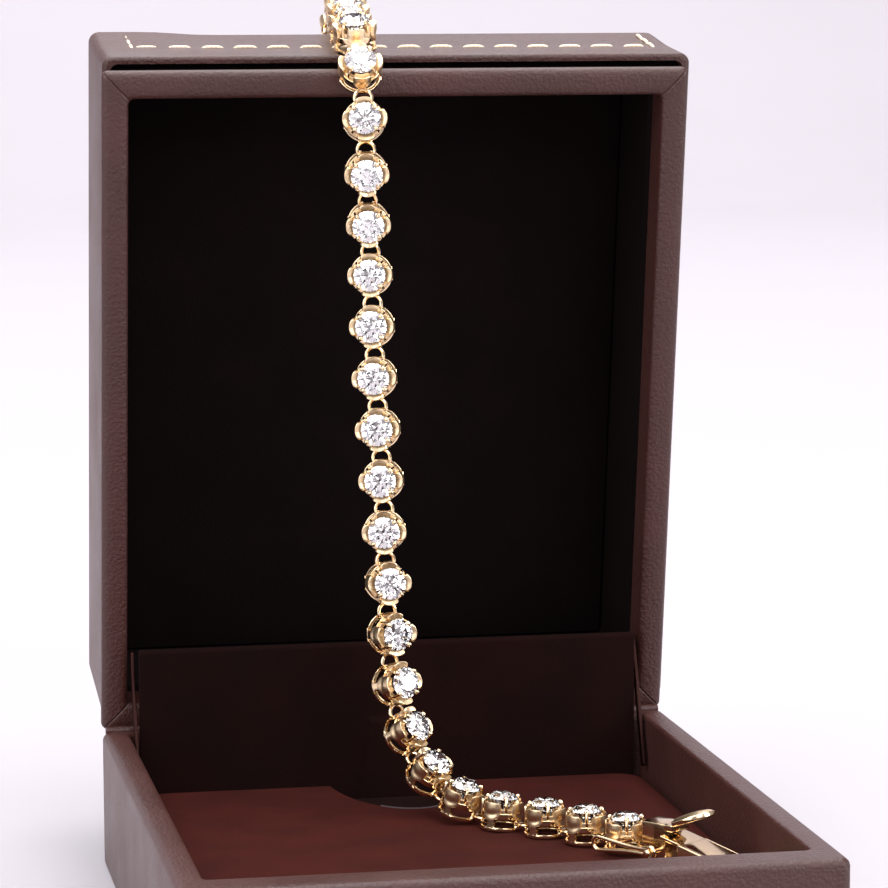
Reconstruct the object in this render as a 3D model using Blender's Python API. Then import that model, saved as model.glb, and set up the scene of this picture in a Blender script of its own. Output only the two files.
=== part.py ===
# Tennis bracelet of round stones in four-petal settings, unfastened and draped over an open presentation box.
# Metres, +Z up. The origin is the middle of the box's underside, the box's front faces -Y.
import bmesh
import bpy
import numpy as np
from math import atan2, cos, pi, radians, sin
from mathutils import Matrix, Vector

MM = 0.001

# Bracelet: a link runs along its own X towards the clasp, its stone faces its own Z
LINK_COUNT = 32
SIDES = 12                      # columns round a setting: two per post, one in the middle of each window
POST_HALF_ANGLE = radians(11.25)
BAND_OUTER = 2.12 * MM          # radius of the base band
BAND_WALL = 0.37 * MM
WINDOW_HEIGHT = 0.78 * MM       # the connector's ring runs at the middle of the windows
RAIL_HEIGHT = 0.37 * MM         # under the windows
BAND_ABOVE = 0.45 * MM          # over the windows
PETAL_ALONG = 2.20 * MM         # radius of the petals that face the next links
PETAL_ACROSS = 2.30 * MM        # and of those at the sides
PETAL_RISE = 1.22 * MM          # from the band's top to the petals' rim
NOTCH_DEPTH = 0.55 * MM         # the V between two petals, down from the rim
NOTCH_INSET = 0.38 * MM         # and in from the petals' radius
CUP_FOOT_INSET = 0.25 * MM
STONE_RADIUS = 1.60 * MM
TABLE_SHARE = 0.55              # of the stone's radius
CROWN_HEIGHT = 0.55 * MM
GIRDLE_ABOVE_RIM = 0.25 * MM
CLAW_RISE = 0.22 * MM           # the claw's tip above the girdle
BOWL_DEPTH = 0.45 * MM          # the petals' hollow below the girdle
RING_WIRE = 0.19 * MM           # radius of the connector's wire
RING_PLAY = 0.20 * MM           # between a post and the ring round it
RING_BITE = 0.05 * MM           # how far the ring's middle line stands inside the post it is soldered to
LINK_GAP = 0.91 * MM            # between two base bands on a straight run

# Clasp: its own X runs outwards from the last link
CLASP_LENGTH = 11.4 * MM
CLASP_WIDTH = 4.3 * MM
CLASP_WALL = 0.45 * MM
CLASP_BELOW = 1.05 * MM         # the case's underside below the windows' level
WALL_START = 4.7 * MM           # the case's inner end, from the post's middle
CASE_HIGH = 2.25 * MM           # the side walls' height at the inner end
CASE_LOW = 0.85 * MM            # and at the mouth
RAMP_TOP = 1.75 * MM            # the sloping plate that covers the case, at the block
RAMP_END = 9.6 * MM             # and where it stops, short of the mouth
RAMP_THICK = 0.35 * MM
BLOCK_LENGTH = 2.95 * MM
BLOCK_WIDTH = 2.6 * MM
BLOCK_HEIGHT = 3.8 * MM
EYE_LENGTH = 1.15 * MM          # the hole behind the clasp's own post
LEVER_LENGTH = 4.1 * MM
LEVER_WIDTH = 4.1 * MM
LEVER_THICK = 0.55 * MM
LEVER_RAISED = radians(20)
PIN_RADIUS = 0.22 * MM
PIN_PLAY = 0.07 * MM
KNUCKLE_WALL = 0.25 * MM
KNUCKLE_WIDTH = 1.2 * MM
CATCH_LENGTH = 7.6 * MM
CATCH_HEIGHT = 1.7 * MM
CATCH_WIRE = 0.21 * MM
CATCH_CLEAR = 0.3 * MM          # between the petals' side and the catch
STUD_HEAD = 0.38 * MM           # radius of the stud's head outside the catch
TONGUE_LENGTH = 9.0 * MM
TONGUE_WIDTH = 3.2 * MM
TONGUE_THICK = 0.9 * MM

# Box: base tray and lid, both covered boards
BOX_WIDTH = 60.0 * MM
BOX_DEPTH = 69.5 * MM
BASE_HEIGHT = 13.9 * MM
SIDE_WALL = 2.7 * MM
FRONT_WALL = 4.4 * MM
BACK_WALL = 2.0 * MM
FLOOR_THICK = 1.5 * MM
CORNER_RADIUS = 1.8 * MM
RIM_EDGE = 0.7 * MM
PAD_TOP = 8.0 * MM
PAD_CORNER = 3.0 * MM
SCOOP_HALF = (7.0 * MM, 14.5 * MM)   # the finger scoop in the pad's back edge: half its width, and its reach forward
SCOOP_DEPTH = 1.7 * MM
SCOOP_MIDDLE = 0.3 * MM
WELL_CORNER = 0.6 * MM
LID_OPEN = radians(80.8)
LID_DEPTH = 20.0 * MM
FRAME_DEPTH = 4.1 * MM
FRAME_FACE = 2.8 * MM           # the frame's width seen from the front
SHELL_OVERHANG = 0.35 * MM      # the shell stands out round the frame
SHELL_BACK = 2.4 * MM
SHELL_ASIDE = 0.8 * MM          # the shell sits a little to the right of the frame
LINING_THICK = 0.6 * MM
COVER_THICK = 0.8 * MM          # the board that hides the hinge
COVER_TOP = 22.8 * MM
STRAP_THICK = 0.4 * MM
STRAP_WIDTH = 1.0 * MM
STRAP_FOOT = 9.0 * MM
STRAP_SETBACK = 3.6 * MM        # the strap's foot in front of the well's back
STRAP_TOP = 22.0 * MM
FIT_GAP = 0.3 * MM

# The bracelet's route, chosen by hand: the windows' level from the tongue's end behind the lid to the clasp.
# Columns: x, y, z in mm, roll in degrees about the route
ROUTE = [
    (-2.95, 54.1, 28.6, 0),
    (-2.85, 53.3, 33.7, 0),
    (-2.75, 52.45, 38.8, 0),
    (-2.65, 51.6, 43.9, 0),
    (-2.55, 50.8, 49.0, 0),
    (-2.45, 50.0, 54.1, 0),
    (-2.35, 49.2, 59.2, 0),
    (-2.25, 48.65, 64.3, 0),
    (-2.2, 48.5, 69.4, 0),
    (-2.15, 48.6, 74.5, 0),
    (-2.1, 48.75, 79.6, 0),
    (-2.15, 47.55, 84.55, 0),
    (-2.45, 43.8, 87.8, 0),
    (-2.95, 39.0, 87.65, 0),
    (-3.45, 34.9, 86.55, 0),
    (-3.9, 31.0, 85.75, 2),
    (-4.1, 26.6, 85.7, 5),
    (-4.4, 22.15, 82.75, 6),
    (-4.2, 20.4, 77.75, 8),
    (-4.1, 20.4, 72.6, 8),
    (-3.75, 21.2, 67.6, 10),
    (-3.5, 21.3, 62.45, 14),
    (-3.35, 21.0, 57.3, 16),
    (-3.2, 20.75, 52.15, 16),
    (-2.95, 20.45, 47.0, 16),
    (-2.65, 20.1, 41.85, 16),
    (-2.55, 19.75, 36.7, 12),
    (-2.5, 19.4, 31.5, 0),
    (-2.4, 18.95, 26.35, -16),
    (-2.15, 18.4, 21.1, -27),
    (-1.35, 16.85, 16.15, -33),
    (0.5, 13.95, 12.0, -26),
    (3.3, 10.3, 9.6, -16),
    (6.9, 6.5, 9.05, -5),
    (10.5, 2.9, 9.1, 0),
    (13.6, -1.2, 9.2, 0),
    (16.4, -5.5, 9.3, 0),
    (19.5, -9.6, 9.35, 0),
]

# Sizes that follow from those above
WINDOW_TOP = WINDOW_HEIGHT / 2
BASE_BOTTOM = -WINDOW_TOP - RAIL_HEIGHT
BAND_TOP = WINDOW_TOP + BAND_ABOVE
CLASP_TOP = BLOCK_HEIGHT - CLASP_BELOW
RIM_LEVEL = BAND_TOP + PETAL_RISE
GIRDLE_LEVEL = RIM_LEVEL + GIRDLE_ABOVE_RIM
BAND_INNER = BAND_OUTER - BAND_WALL
POST_MIDDLE = BAND_OUTER - BAND_WALL / 2
SOLDER_RADIUS = BAND_OUTER - RING_BITE
RING_REACH = LINK_GAP + (BAND_OUTER - SOLDER_RADIUS) + (BAND_OUTER - POST_MIDDLE)
RING_BEHIND = BAND_WALL / 2 + RING_PLAY + RING_WIRE
RING_RADIUS = (RING_REACH + RING_BEHIND) / 2

HINGE = Vector((0, BOX_DEPTH / 2, BASE_HEIGHT))
LID_UP = Vector((0, -cos(LID_OPEN), sin(LID_OPEN)))
LID_BACK = Vector((0, sin(LID_OPEN), cos(LID_OPEN)))

GOLD = ((0.83, 0.60, 0.34), 0.16, 1.0)
LEATHERETTE = ((0.085, 0.045, 0.043), 0.45, 0.0)
PAD_VELVET = ((0.10, 0.022, 0.018), 0.9, 0.0)
LINING_VELVET = ((0.009, 0.004, 0.004), 0.9, 0.0)
STEEL = ((0.11, 0.045, 0.037), 0.45, 1.0)


def clear_scene():
    for old in list(bpy.data.objects):
        bpy.data.objects.remove(old, do_unlink=True)


def make_collection(name):
    made = bpy.data.collections.new(name)
    bpy.context.scene.collection.children.link(made)
    return made


def make_material(name, finish):
    colour, roughness, metallic = finish
    made = bpy.data.materials.new(name)
    made.use_nodes = True
    shader = made.node_tree.nodes["Principled BSDF"]
    shader.inputs["Base Color"].default_value = (*colour, 1.0)
    shader.inputs["Roughness"].default_value = roughness
    shader.inputs["Metallic"].default_value = metallic
    return made


def add_part(name, mesh, finish, place=None):
    made = bpy.data.objects.new(name, mesh)
    made.matrix_world = place if place else Matrix.Identity(4)
    parts.objects.link(made)
    if not mesh.materials:
        mesh.materials.append(None)
    slot = made.material_slots[0]
    slot.link = "OBJECT"
    slot.material = make_material(name + "_finish", finish)
    return made


def add_cutter(name, mesh, place=None):
    made = bpy.data.objects.new(name, mesh)
    made.matrix_world = place if place else Matrix.Identity(4)
    cutters.objects.link(made)
    made.hide_render = True
    made.display_type = "WIRE"
    return made


def mesh_from(shape, name):
    made = bpy.data.meshes.new(name)
    bmesh.ops.recalc_face_normals(shape, faces=shape.faces)
    shape.to_mesh(made)
    shape.free()
    return made


def box_mesh(low, high, name="box", corner=0.0, rim=0.0):
    """A box between two corners, its upright edges rounded by corner and its upper outer edge by rim."""
    shape = bmesh.new()
    size = Vector(high) - Vector(low)
    middle = (Vector(high) + Vector(low)) / 2
    bmesh.ops.create_cube(shape, size=1.0, matrix=Matrix.Translation(middle) @ Matrix.Diagonal((*size, 1.0)))
    if corner:
        upright = [e for e in shape.edges if abs(e.verts[0].co.z - e.verts[1].co.z) > size.z / 2]
        bmesh.ops.bevel(shape, geom=upright, offset=corner, segments=3, profile=0.5, affect="EDGES")
    if rim:
        top = [e for e in shape.edges if min(v.co.z for v in e.verts) > high[2] - MM * 0.001]
        bmesh.ops.bevel(shape, geom=top, offset=rim, segments=2, profile=0.5, affect="EDGES")
    return mesh_from(shape, name)


def rod_mesh(radius, length, sides=12, name="rod"):
    """A round bar along Y about the origin."""
    shape = bmesh.new()
    turn = Matrix.Rotation(pi / 2, 4, "X")
    bmesh.ops.create_cone(shape, cap_ends=True, segments=sides, radius1=radius, radius2=radius, depth=length, matrix=turn)
    return mesh_from(shape, name)


def prism_mesh(outline, half_width, name="prism"):
    """An outline of (x, z) points carried from -Y to +Y."""
    shape = bmesh.new()
    near = [shape.verts.new((x, -half_width, z)) for x, z in outline]
    far = [shape.verts.new((x, half_width, z)) for x, z in outline]
    shape.faces.new(near)
    shape.faces.new(list(reversed(far)))
    for i in range(len(outline)):
        k = (i + 1) % len(outline)
        shape.faces.new((near[k], near[i], far[i], far[k]))
    return mesh_from(shape, name)


def combine(target, other, operation):
    step = target.modifiers.new(operation.lower(), "BOOLEAN")
    step.operation = operation
    step.solver = "EXACT"
    step.object = other


def setting_columns():
    """Angles round a setting: both edges of each post and the middle of each window."""
    angles = []
    for quarter in range(4):
        start = quarter * pi / 2
        angles += [start - POST_HALF_ANGLE, start + POST_HALF_ANGLE, start + pi / 4]
    return angles


def setting_mesh():
    """A setting with its stone as one loft: rows of columns from the stone's point, down inside the band,
    round its rail, up over the petals and claws to the stone's table. The windows leave their wall out."""
    shape = bmesh.new()
    angles = setting_columns()

    def row(radii, levels):
        return [shape.verts.new((r * cos(a), r * sin(a), z)) for a, r, z in zip(angles, radii, levels)]

    def even(radius, level):
        return row([radius] * SIDES, [level] * SIDES)

    def at_notches(plain, notch):
        return [notch if i % 3 == 2 else plain for i in range(SIDES)]

    petals = [PETAL_ACROSS if i // 3 % 2 else PETAL_ALONG for i in range(SIDES)]
    rim = [PETAL_ALONG - NOTCH_INSET if i % 3 == 2 else petal for i, petal in enumerate(petals)]
    rim_level = at_notches(RIM_LEVEL, RIM_LEVEL - NOTCH_DEPTH)
    claw_level = at_notches(GIRDLE_LEVEL - BOWL_DEPTH, GIRDLE_LEVEL + CLAW_RISE)
    crown_top = GIRDLE_LEVEL + CROWN_HEIGHT

    inner_head = even(BAND_INNER, WINDOW_TOP)
    inner_sill = even(BAND_INNER, -WINDOW_TOP)
    inner_foot = even(BAND_INNER, BASE_BOTTOM)
    outer_foot = even(BAND_OUTER, BASE_BOTTOM)
    outer_sill = even(BAND_OUTER, -WINDOW_TOP)
    outer_head = even(BAND_OUTER, WINDOW_TOP)
    band_top = even(BAND_OUTER, BAND_TOP)
    cup_foot = even(BAND_OUTER - CUP_FOOT_INSET, BAND_TOP + CUP_FOOT_INSET / 2)
    petal_rim = row(rim, rim_level)
    bowl = row([STONE_RADIUS + 0.03 * MM] * SIDES, claw_level)
    girdle = even(STONE_RADIUS - 0.03 * MM, GIRDLE_LEVEL)
    table = even(STONE_RADIUS * TABLE_SHARE, crown_top)
    culet = shape.verts.new((0, 0, WINDOW_TOP - 0.02 * MM))

    def band(low, high):
        for i in range(SIDES):
            k = (i + 1) % SIDES
            shape.faces.new((low[i], low[k], high[k], high[i]))

    for low, high in ((inner_sill, inner_foot), (inner_foot, outer_foot), (outer_foot, outer_sill),
                      (outer_head, band_top), (band_top, cup_foot), (cup_foot, petal_rim),
                      (petal_rim, bowl), (bowl, girdle), (girdle, table)):
        band(low, high)
    for i in range(SIDES):
        k = (i + 1) % SIDES
        shape.faces.new((culet, inner_head[i], inner_head[k]))
        if i % 3 == 0:                               # a post: its wall, and a jamb on each side
            shape.faces.new((inner_head[i], inner_head[k], inner_sill[k], inner_sill[i]))
            shape.faces.new((outer_sill[i], outer_sill[k], outer_head[k], outer_head[i]))
            shape.faces.new((inner_sill[i], inner_head[i], outer_head[i], outer_sill[i]))
            shape.faces.new((inner_head[k], inner_sill[k], outer_sill[k], outer_head[k]))
        else:                                        # a window: its sill and its head
            shape.faces.new((outer_sill[i], outer_sill[k], inner_sill[k], inner_sill[i]))
            shape.faces.new((outer_head[k], outer_head[i], inner_head[i], inner_head[k]))
    shape.faces.new(table)
    return mesh_from(shape, "setting")


def ring_mesh():
    """The connector: a round wire ring in its own XY plane, the solder joint at its origin, reaching to +X."""
    bpy.ops.mesh.primitive_torus_add(
        major_segments=12, minor_segments=5, major_radius=RING_RADIUS, minor_radius=RING_WIRE)
    made = bpy.context.object
    mesh = made.data.copy()
    mesh.name = "connector_ring"
    bpy.data.objects.remove(made, do_unlink=True)
    mesh.transform(Matrix.Translation((RING_RADIUS, 0, 0)))
    return mesh


def smooth_route():
    """A Catmull-Rom curve through the route's points, sampled finely: positions in metres and rolls."""
    points = np.array(ROUTE, float)
    points = np.vstack([2 * points[0] - points[1], points, 2 * points[-1] - points[-2]])
    share = np.linspace(0, 1, 200, endpoint=False)[:, None]
    runs = []
    for a, b, c, d in zip(points, points[1:], points[2:], points[3:]):
        runs.append(0.5 * (2 * b + (c - a) * share + (2 * a - 5 * b + 4 * c - d) * share ** 2
                           + (3 * b - a - 3 * c + d) * share ** 3))
    curve = np.vstack(runs + [points[-2:-1]])
    return curve[:, :3] * MM, np.radians(curve[:, 3])


def walk_back(curve, start, distance):
    """The curve's index at a straight distance back from the point at start."""
    away = np.linalg.norm(curve[:start] - curve[start], axis=1)
    return int(np.nonzero(away >= distance)[0][-1])


def frame_along(start, end, roll, origin):
    """X from start to end, Z the side away from the box turned by roll about X, as a placement matrix."""
    along = (Vector(end) - Vector(start)).normalized()
    face = along.cross(Vector((1, 0, 0))).normalized()
    face = Matrix.Rotation(roll, 3, along) @ face
    side = face.cross(along)
    place = Matrix((along, side, face)).transposed().to_4x4()
    place.translation = origin
    return place


def ring_place(solder, post, face_before, face_after):
    along = (Vector(post) - Vector(solder)).normalized()
    face = face_before + face_after
    face = (face - along * face.dot(along)).normalized()
    place = Matrix((along, face.cross(along), face)).transposed().to_4x4()
    place.translation = solder
    return place


def lay_chain():
    """Each link's placement from the clasp's end back, its ring's placement, and the clasp's and tongue's."""
    curve, rolls = smooth_route()
    post = len(curve) - 1
    clasp_start = walk_back(curve, post, POST_MIDDLE)
    clasp = frame_along(curve[clasp_start], curve[post], rolls[post], curve[clasp_start])
    post = clasp_start
    after = clasp
    links = []
    for _ in range(LINK_COUNT):
        solder = walk_back(curve, post, RING_REACH)
        upper_post = walk_back(curve, solder, SOLDER_RADIUS + POST_MIDDLE)
        middle = Vector(curve[solder]) + (Vector(curve[upper_post]) - Vector(curve[solder])).normalized() * SOLDER_RADIUS
        place = frame_along(curve[upper_post], curve[solder], rolls[(solder + upper_post) // 2], middle)
        ring = ring_place(curve[solder], curve[post], place.col[2].to_3d(), after.col[2].to_3d())
        links.append((place, ring))
        post, after = upper_post, place
    solder = walk_back(curve, post, RING_REACH)
    tail = walk_back(curve, solder, TONGUE_LENGTH)
    tongue = frame_along(curve[tail], curve[solder], rolls[solder], curve[solder])
    ring = ring_place(curve[solder], curve[post], tongue.col[2].to_3d(), after.col[2].to_3d())
    return links, clasp, (tongue, ring)


def make_links(links):
    setting = setting_mesh()
    connector = ring_mesh()
    for number, (place, ring) in enumerate(links, start=1):
        link = add_part(f"link_{number:02d}", setting, GOLD, place)
        cutter = add_cutter(f"ring_of_link_{number:02d}", connector, ring)
        combine(link, cutter, "UNION")


def make_tongue(place, ring):
    """The plain hidden half of the clasp: a flat tongue with the same ring at its end."""
    half = TONGUE_WIDTH / 2
    mesh = box_mesh((-TONGUE_LENGTH, -half, -TONGUE_THICK / 2), (RING_BITE, half, TONGUE_THICK / 2), "tongue")
    tongue = add_part("clasp_tongue", mesh, GOLD, place)
    combine(tongue, add_cutter("ring_of_tongue", ring_mesh(), ring), "UNION")


def case_points():
    """Named places along the clasp: the block's end, the hinge's pin."""
    block_end = BLOCK_LENGTH - BAND_WALL / 2
    pin_x = block_end + PIN_RADIUS + PIN_PLAY + KNUCKLE_WALL
    pin_z = CLASP_TOP - PIN_RADIUS
    return block_end, pin_x, pin_z


def catch_pivot():
    """The catch's middle on its stud at the block's near side, in the clasp's frame."""
    return (EYE_LENGTH + BLOCK_LENGTH) / 2, -PETAL_ACROSS - CATCH_CLEAR - CATCH_WIRE, CATCH_WIRE


def make_clasp(place):
    """Case open at its mouth and top, end block with the post that the last ring goes round, pin for the lever."""
    block_end, pin_x, pin_z = case_points()
    half_wall = BAND_WALL / 2
    half_block = BLOCK_WIDTH / 2
    half_case = CLASP_WIDTH / 2
    reach = CLASP_LENGTH - half_wall
    bottom = -CLASP_BELOW
    floor = bottom + CLASP_WALL

    case = add_part("clasp_case", box_mesh((-half_wall, -half_block, bottom), (block_end, half_block, CLASP_TOP)), GOLD, place)
    ear_low = pin_z - PIN_RADIUS - KNUCKLE_WALL
    ears = box_mesh((block_end - CLASP_WALL, -half_block, ear_low), (pin_x + PIN_RADIUS, half_block, CLASP_TOP))
    combine(case, add_cutter("ears", ears, place), "UNION")
    slot = box_mesh((block_end, -KNUCKLE_WIDTH / 2 - PIN_PLAY, ear_low - CLASP_WALL),
                    (pin_x + CLASP_WALL, KNUCKLE_WIDTH / 2 + PIN_PLAY, CLASP_TOP + CLASP_WALL))
    combine(case, add_cutter("knuckle_slot", slot, place), "DIFFERENCE")
    outline = [(block_end - CLASP_WALL, bottom), (reach, bottom), (reach, bottom + CASE_LOW),
               (WALL_START, bottom + CASE_HIGH), (WALL_START, floor), (block_end - CLASP_WALL, floor)]
    combine(case, add_cutter("case_outside", prism_mesh(outline, half_case), place), "UNION")
    hollow = box_mesh((WALL_START + CLASP_WALL, -half_case + CLASP_WALL, floor),
                      (reach + CLASP_WALL, half_case - CLASP_WALL, floor + BLOCK_HEIGHT))
    combine(case, add_cutter("case_inside", hollow, place), "DIFFERENCE")
    ramp_start = block_end - CLASP_WALL / 2
    fall = (RAMP_TOP - bottom - CASE_LOW) / (reach - ramp_start)
    ramp_low = RAMP_TOP - fall * (RAMP_END - ramp_start)
    ramp = [(ramp_start, RAMP_TOP - RAMP_THICK), (RAMP_END, ramp_low - RAMP_THICK), (RAMP_END, ramp_low), (ramp_start, RAMP_TOP)]
    combine(case, add_cutter("case_ramp", prism_mesh(ramp, half_case - CLASP_WALL / 2), place), "UNION")
    half_post = BAND_OUTER * sin(POST_HALF_ANGLE)
    for side, label in ((1, "left"), (-1, "right")):
        low_y, high_y = sorted((side * half_post, side * half_case))
        eye = box_mesh((-BLOCK_LENGTH, low_y, -WINDOW_TOP), (EYE_LENGTH, high_y, WINDOW_TOP))
        combine(case, add_cutter(f"eye_{label}", eye, place), "DIFFERENCE")
    through = box_mesh((half_wall, -half_post * 1.5, -WINDOW_TOP), (EYE_LENGTH, half_post * 1.5, WINDOW_TOP))
    combine(case, add_cutter("eye_middle", through, place), "DIFFERENCE")
    pin_place = place @ Matrix.Translation((pin_x, 0, pin_z))
    combine(case, add_cutter("lever_pin", rod_mesh(PIN_RADIUS, BLOCK_WIDTH - CLASP_WALL / 2), pin_place), "UNION")
    stud_x, stud_y, stud_z = catch_pivot()
    tip = stud_y - CATCH_WIRE - PIN_PLAY - STUD_HEAD / 2
    inside = -half_block + CLASP_WALL / 2
    stud_place = place @ Matrix.Translation((stud_x, (inside + tip) / 2, stud_z))
    combine(case, add_cutter("catch_stud", rod_mesh(PIN_RADIUS, inside - tip), stud_place), "UNION")
    head_place = place @ Matrix.Translation((stud_x, tip - PIN_PLAY, stud_z))
    combine(case, add_cutter("stud_head", rod_mesh(STUD_HEAD, STUD_HEAD), head_place), "UNION")


def make_lever(place):
    """Thumb plate on a knuckle round the pin, raised at its outer end."""
    _, pin_x, pin_z = case_points()
    knuckle = PIN_RADIUS + PIN_PLAY + KNUCKLE_WALL
    hinge = place @ Matrix.Translation((pin_x, 0, pin_z)) @ Matrix.Rotation(-LEVER_RAISED, 4, "Y")
    lever = add_part("clasp_lever", rod_mesh(knuckle, KNUCKLE_WIDTH), GOLD, hinge)
    half = LEVER_WIDTH / 2
    start = PIN_RADIUS + PIN_PLAY * 2 + KNUCKLE_WALL
    low, high = knuckle - LEVER_THICK, knuckle
    shape = bmesh.new()
    round_end = [(LEVER_LENGTH - half + half * cos(a), half * sin(a)) for a in np.linspace(-pi / 2, pi / 2, 9)]
    outline = [(start, half), (start, -half)] + round_end
    face = shape.faces.new([shape.verts.new((x, y, low)) for x, y in outline])
    solid = bmesh.ops.extrude_face_region(shape, geom=[face])
    raised = [g for g in solid["geom"] if isinstance(g, bmesh.types.BMVert)]
    bmesh.ops.translate(shape, vec=(0, 0, high - low), verts=raised)
    combine(lever, add_cutter("lever_plate", mesh_from(shape, "lever_plate"), hinge), "UNION")
    neck_side = KNUCKLE_WIDTH / 2 - PIN_PLAY / 2
    neck = box_mesh((0, -neck_side, low), (start + half, neck_side, high - PIN_PLAY / 2))
    combine(lever, add_cutter("lever_neck", neck, hinge), "UNION")
    bore = rod_mesh(PIN_RADIUS + PIN_PLAY, KNUCKLE_WIDTH * 2)
    combine(lever, add_cutter("lever_bore", bore, hinge), "DIFFERENCE")


def make_catch(place):
    """Figure-eight wire safety catch on its stud, swung back beside the last links."""
    x, y, z = catch_pivot()
    pivot = place @ Matrix.Translation((x, y, z))
    eye = PIN_RADIUS + PIN_PLAY + CATCH_WIRE
    reach = CATCH_LENGTH - eye - CATCH_HEIGHT / 2
    waist = reach * 0.45
    loop = CATCH_HEIGHT / 2 - CATCH_WIRE
    curve = bpy.data.curves.new("catch_wire", "CURVE")
    curve.dimensions = "3D"
    curve.bevel_depth = CATCH_WIRE
    curve.bevel_resolution = 1
    path = [(eye * cos(a), 0, eye * sin(a)) for a in np.linspace(radians(150), radians(-150), 9)]
    path += [(-waist, 0, -CATCH_WIRE * 1.3)]
    path += [(-reach - loop * cos(a), 0, loop * sin(a)) for a in np.linspace(radians(-100), radians(100), 8)]
    path += [(-waist, 0, CATCH_WIRE * 1.3)]
    line = curve.splines.new("POLY")
    line.points.add(len(path) - 1)
    for point, place_on in zip(line.points, path):
        point.co = (*place_on, 1.0)
    line.use_cyclic_u = True
    holder = bpy.data.objects.new("catch_curve", curve)
    cutters.objects.link(holder)
    bpy.context.view_layer.update()
    wire = bpy.data.meshes.new_from_object(holder.evaluated_get(bpy.context.evaluated_depsgraph_get()))
    bpy.data.objects.remove(holder, do_unlink=True)
    add_part("safety_catch", wire, GOLD, pivot)


def lid_point(x, height, depth):
    """A point of the open lid: height up from the hinge along the rim, depth behind the rim's plane."""
    return Vector((x, 0, 0)) + HINGE + LID_UP * height + LID_BACK * depth


def lid_place():
    """X across, Y up the rim from the hinge, Z back into the lid."""
    place = Matrix((Vector((1, 0, 0)), LID_UP, LID_BACK)).transposed().to_4x4()
    place.translation = HINGE
    return place


def make_base():
    half = BOX_WIDTH / 2
    low_y, high_y = -BOX_DEPTH / 2, BOX_DEPTH / 2
    tray = add_part("box_tray", box_mesh((-half, low_y, 0), (half, high_y, BASE_HEIGHT), "tray", CORNER_RADIUS, RIM_EDGE),
                    LEATHERETTE)
    inner = half - SIDE_WALL
    well = box_mesh((-inner, low_y + FRONT_WALL, FLOOR_THICK), (inner, high_y - BACK_WALL, BASE_HEIGHT * 2), "well", WELL_CORNER)
    combine(tray, add_cutter("tray_well", well), "DIFFERENCE")
    pad_side = inner - FIT_GAP
    pad_back = high_y - BACK_WALL - COVER_THICK - 2 * FIT_GAP
    pad = box_mesh((-pad_side, low_y + FRONT_WALL + FIT_GAP, FLOOR_THICK + FIT_GAP), (pad_side, pad_back, PAD_TOP), "pad", PAD_CORNER)
    pad_part = add_part("box_pad", pad, PAD_VELVET)
    scoop = rod_mesh(1.0, 4 * SCOOP_DEPTH, 24, "scoop")
    scoop_place = Matrix.Translation((SCOOP_MIDDLE, pad_back, PAD_TOP + SCOOP_DEPTH)) @ Matrix.Diagonal((*SCOOP_HALF, 1, 1))
    combine(pad_part, add_cutter("pad_scoop", scoop, scoop_place @ Matrix.Rotation(pi / 2, 4, "X")), "DIFFERENCE")
    cover_side = pad_side - STRAP_THICK - FIT_GAP
    cover_back = high_y - BACK_WALL - FIT_GAP
    cover = box_mesh((-cover_side, cover_back - COVER_THICK, PAD_TOP / 2), (cover_side, cover_back, COVER_TOP), "hinge_cover")
    add_part("hinge_cover", cover, PAD_VELVET)


def make_lid():
    place = lid_place()
    half = BOX_WIDTH / 2
    over = SHELL_OVERHANG
    shell_start = FRAME_DEPTH + FIT_GAP
    low_corner = (SHELL_ASIDE - half - over, -over, shell_start)
    high_corner = (SHELL_ASIDE + half + over, BOX_DEPTH + over, LID_DEPTH)
    shell = add_part("lid_shell", box_mesh(low_corner, high_corner, "shell", CORNER_RADIUS), LEATHERETTE, place)
    inner = half - SIDE_WALL
    low, high = FRAME_FACE, BOX_DEPTH - FRAME_FACE
    hollow = box_mesh((-inner, low, -FRAME_DEPTH), (inner, high, LID_DEPTH - SHELL_BACK), "lid_hollow")
    combine(shell, add_cutter("shell_hollow", hollow, place), "DIFFERENCE")
    frame = add_part("lid_frame", box_mesh((-half, 0, 0), (half, BOX_DEPTH, FRAME_DEPTH), "frame", CORNER_RADIUS), LEATHERETTE, place)
    combine(frame, add_cutter("frame_opening", hollow, place), "DIFFERENCE")
    lining_back = LID_DEPTH - SHELL_BACK - FIT_GAP
    lining = box_mesh((-inner + FIT_GAP, low + FIT_GAP, lining_back - LINING_THICK),
                      (inner - FIT_GAP, high - FIT_GAP, lining_back), "lining")
    add_part("lid_lining", lining, LINING_VELVET, place)


def make_straps():
    """A sprung steel strap in each back corner, from inside the base up into the lid."""
    outer = BOX_WIDTH / 2 - SIDE_WALL - FIT_GAP
    foot = Vector((0, BOX_DEPTH / 2 - BACK_WALL - STRAP_SETBACK, STRAP_FOOT))
    rise = STRAP_TOP - BASE_HEIGHT
    head = lid_point(0, rise, FRAME_DEPTH * 0.3)
    along = head - foot
    lean = atan2(-along.y, along.z)
    for side, label in ((-1, "left"), (1, "right")):
        low_x, high_x = sorted((side * (outer - STRAP_THICK), side * outer))
        mesh = box_mesh((low_x, -STRAP_WIDTH / 2, 0), (high_x, STRAP_WIDTH / 2, along.length), "strap")
        add_part(f"hinge_strap_{label}", mesh, STEEL, Matrix.Translation(foot) @ Matrix.Rotation(lean, 4, "X"))


clear_scene()
parts = make_collection("tennis_bracelet_in_box")
cutters = make_collection("cutters")
chain, clasp_place, tongue_place = lay_chain()
make_links(chain)
make_clasp(clasp_place)
make_lever(clasp_place)
make_catch(clasp_place)
make_tongue(*tongue_place)
make_base()
make_lid()
make_straps()
bpy.context.view_layer.update()
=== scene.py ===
# A tennis bracelet of round stones in four-petal settings, unfastened and draped over an open presentation box.
# Shapes are worked out in millimetres in each piece's own frame, and go into the meshes in metres.
import bmesh
import bpy
import numpy as np
from bpy.props import FloatProperty, FloatVectorProperty
from math import atan2, cos, pi, radians, sin
from mathutils import Matrix


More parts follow.
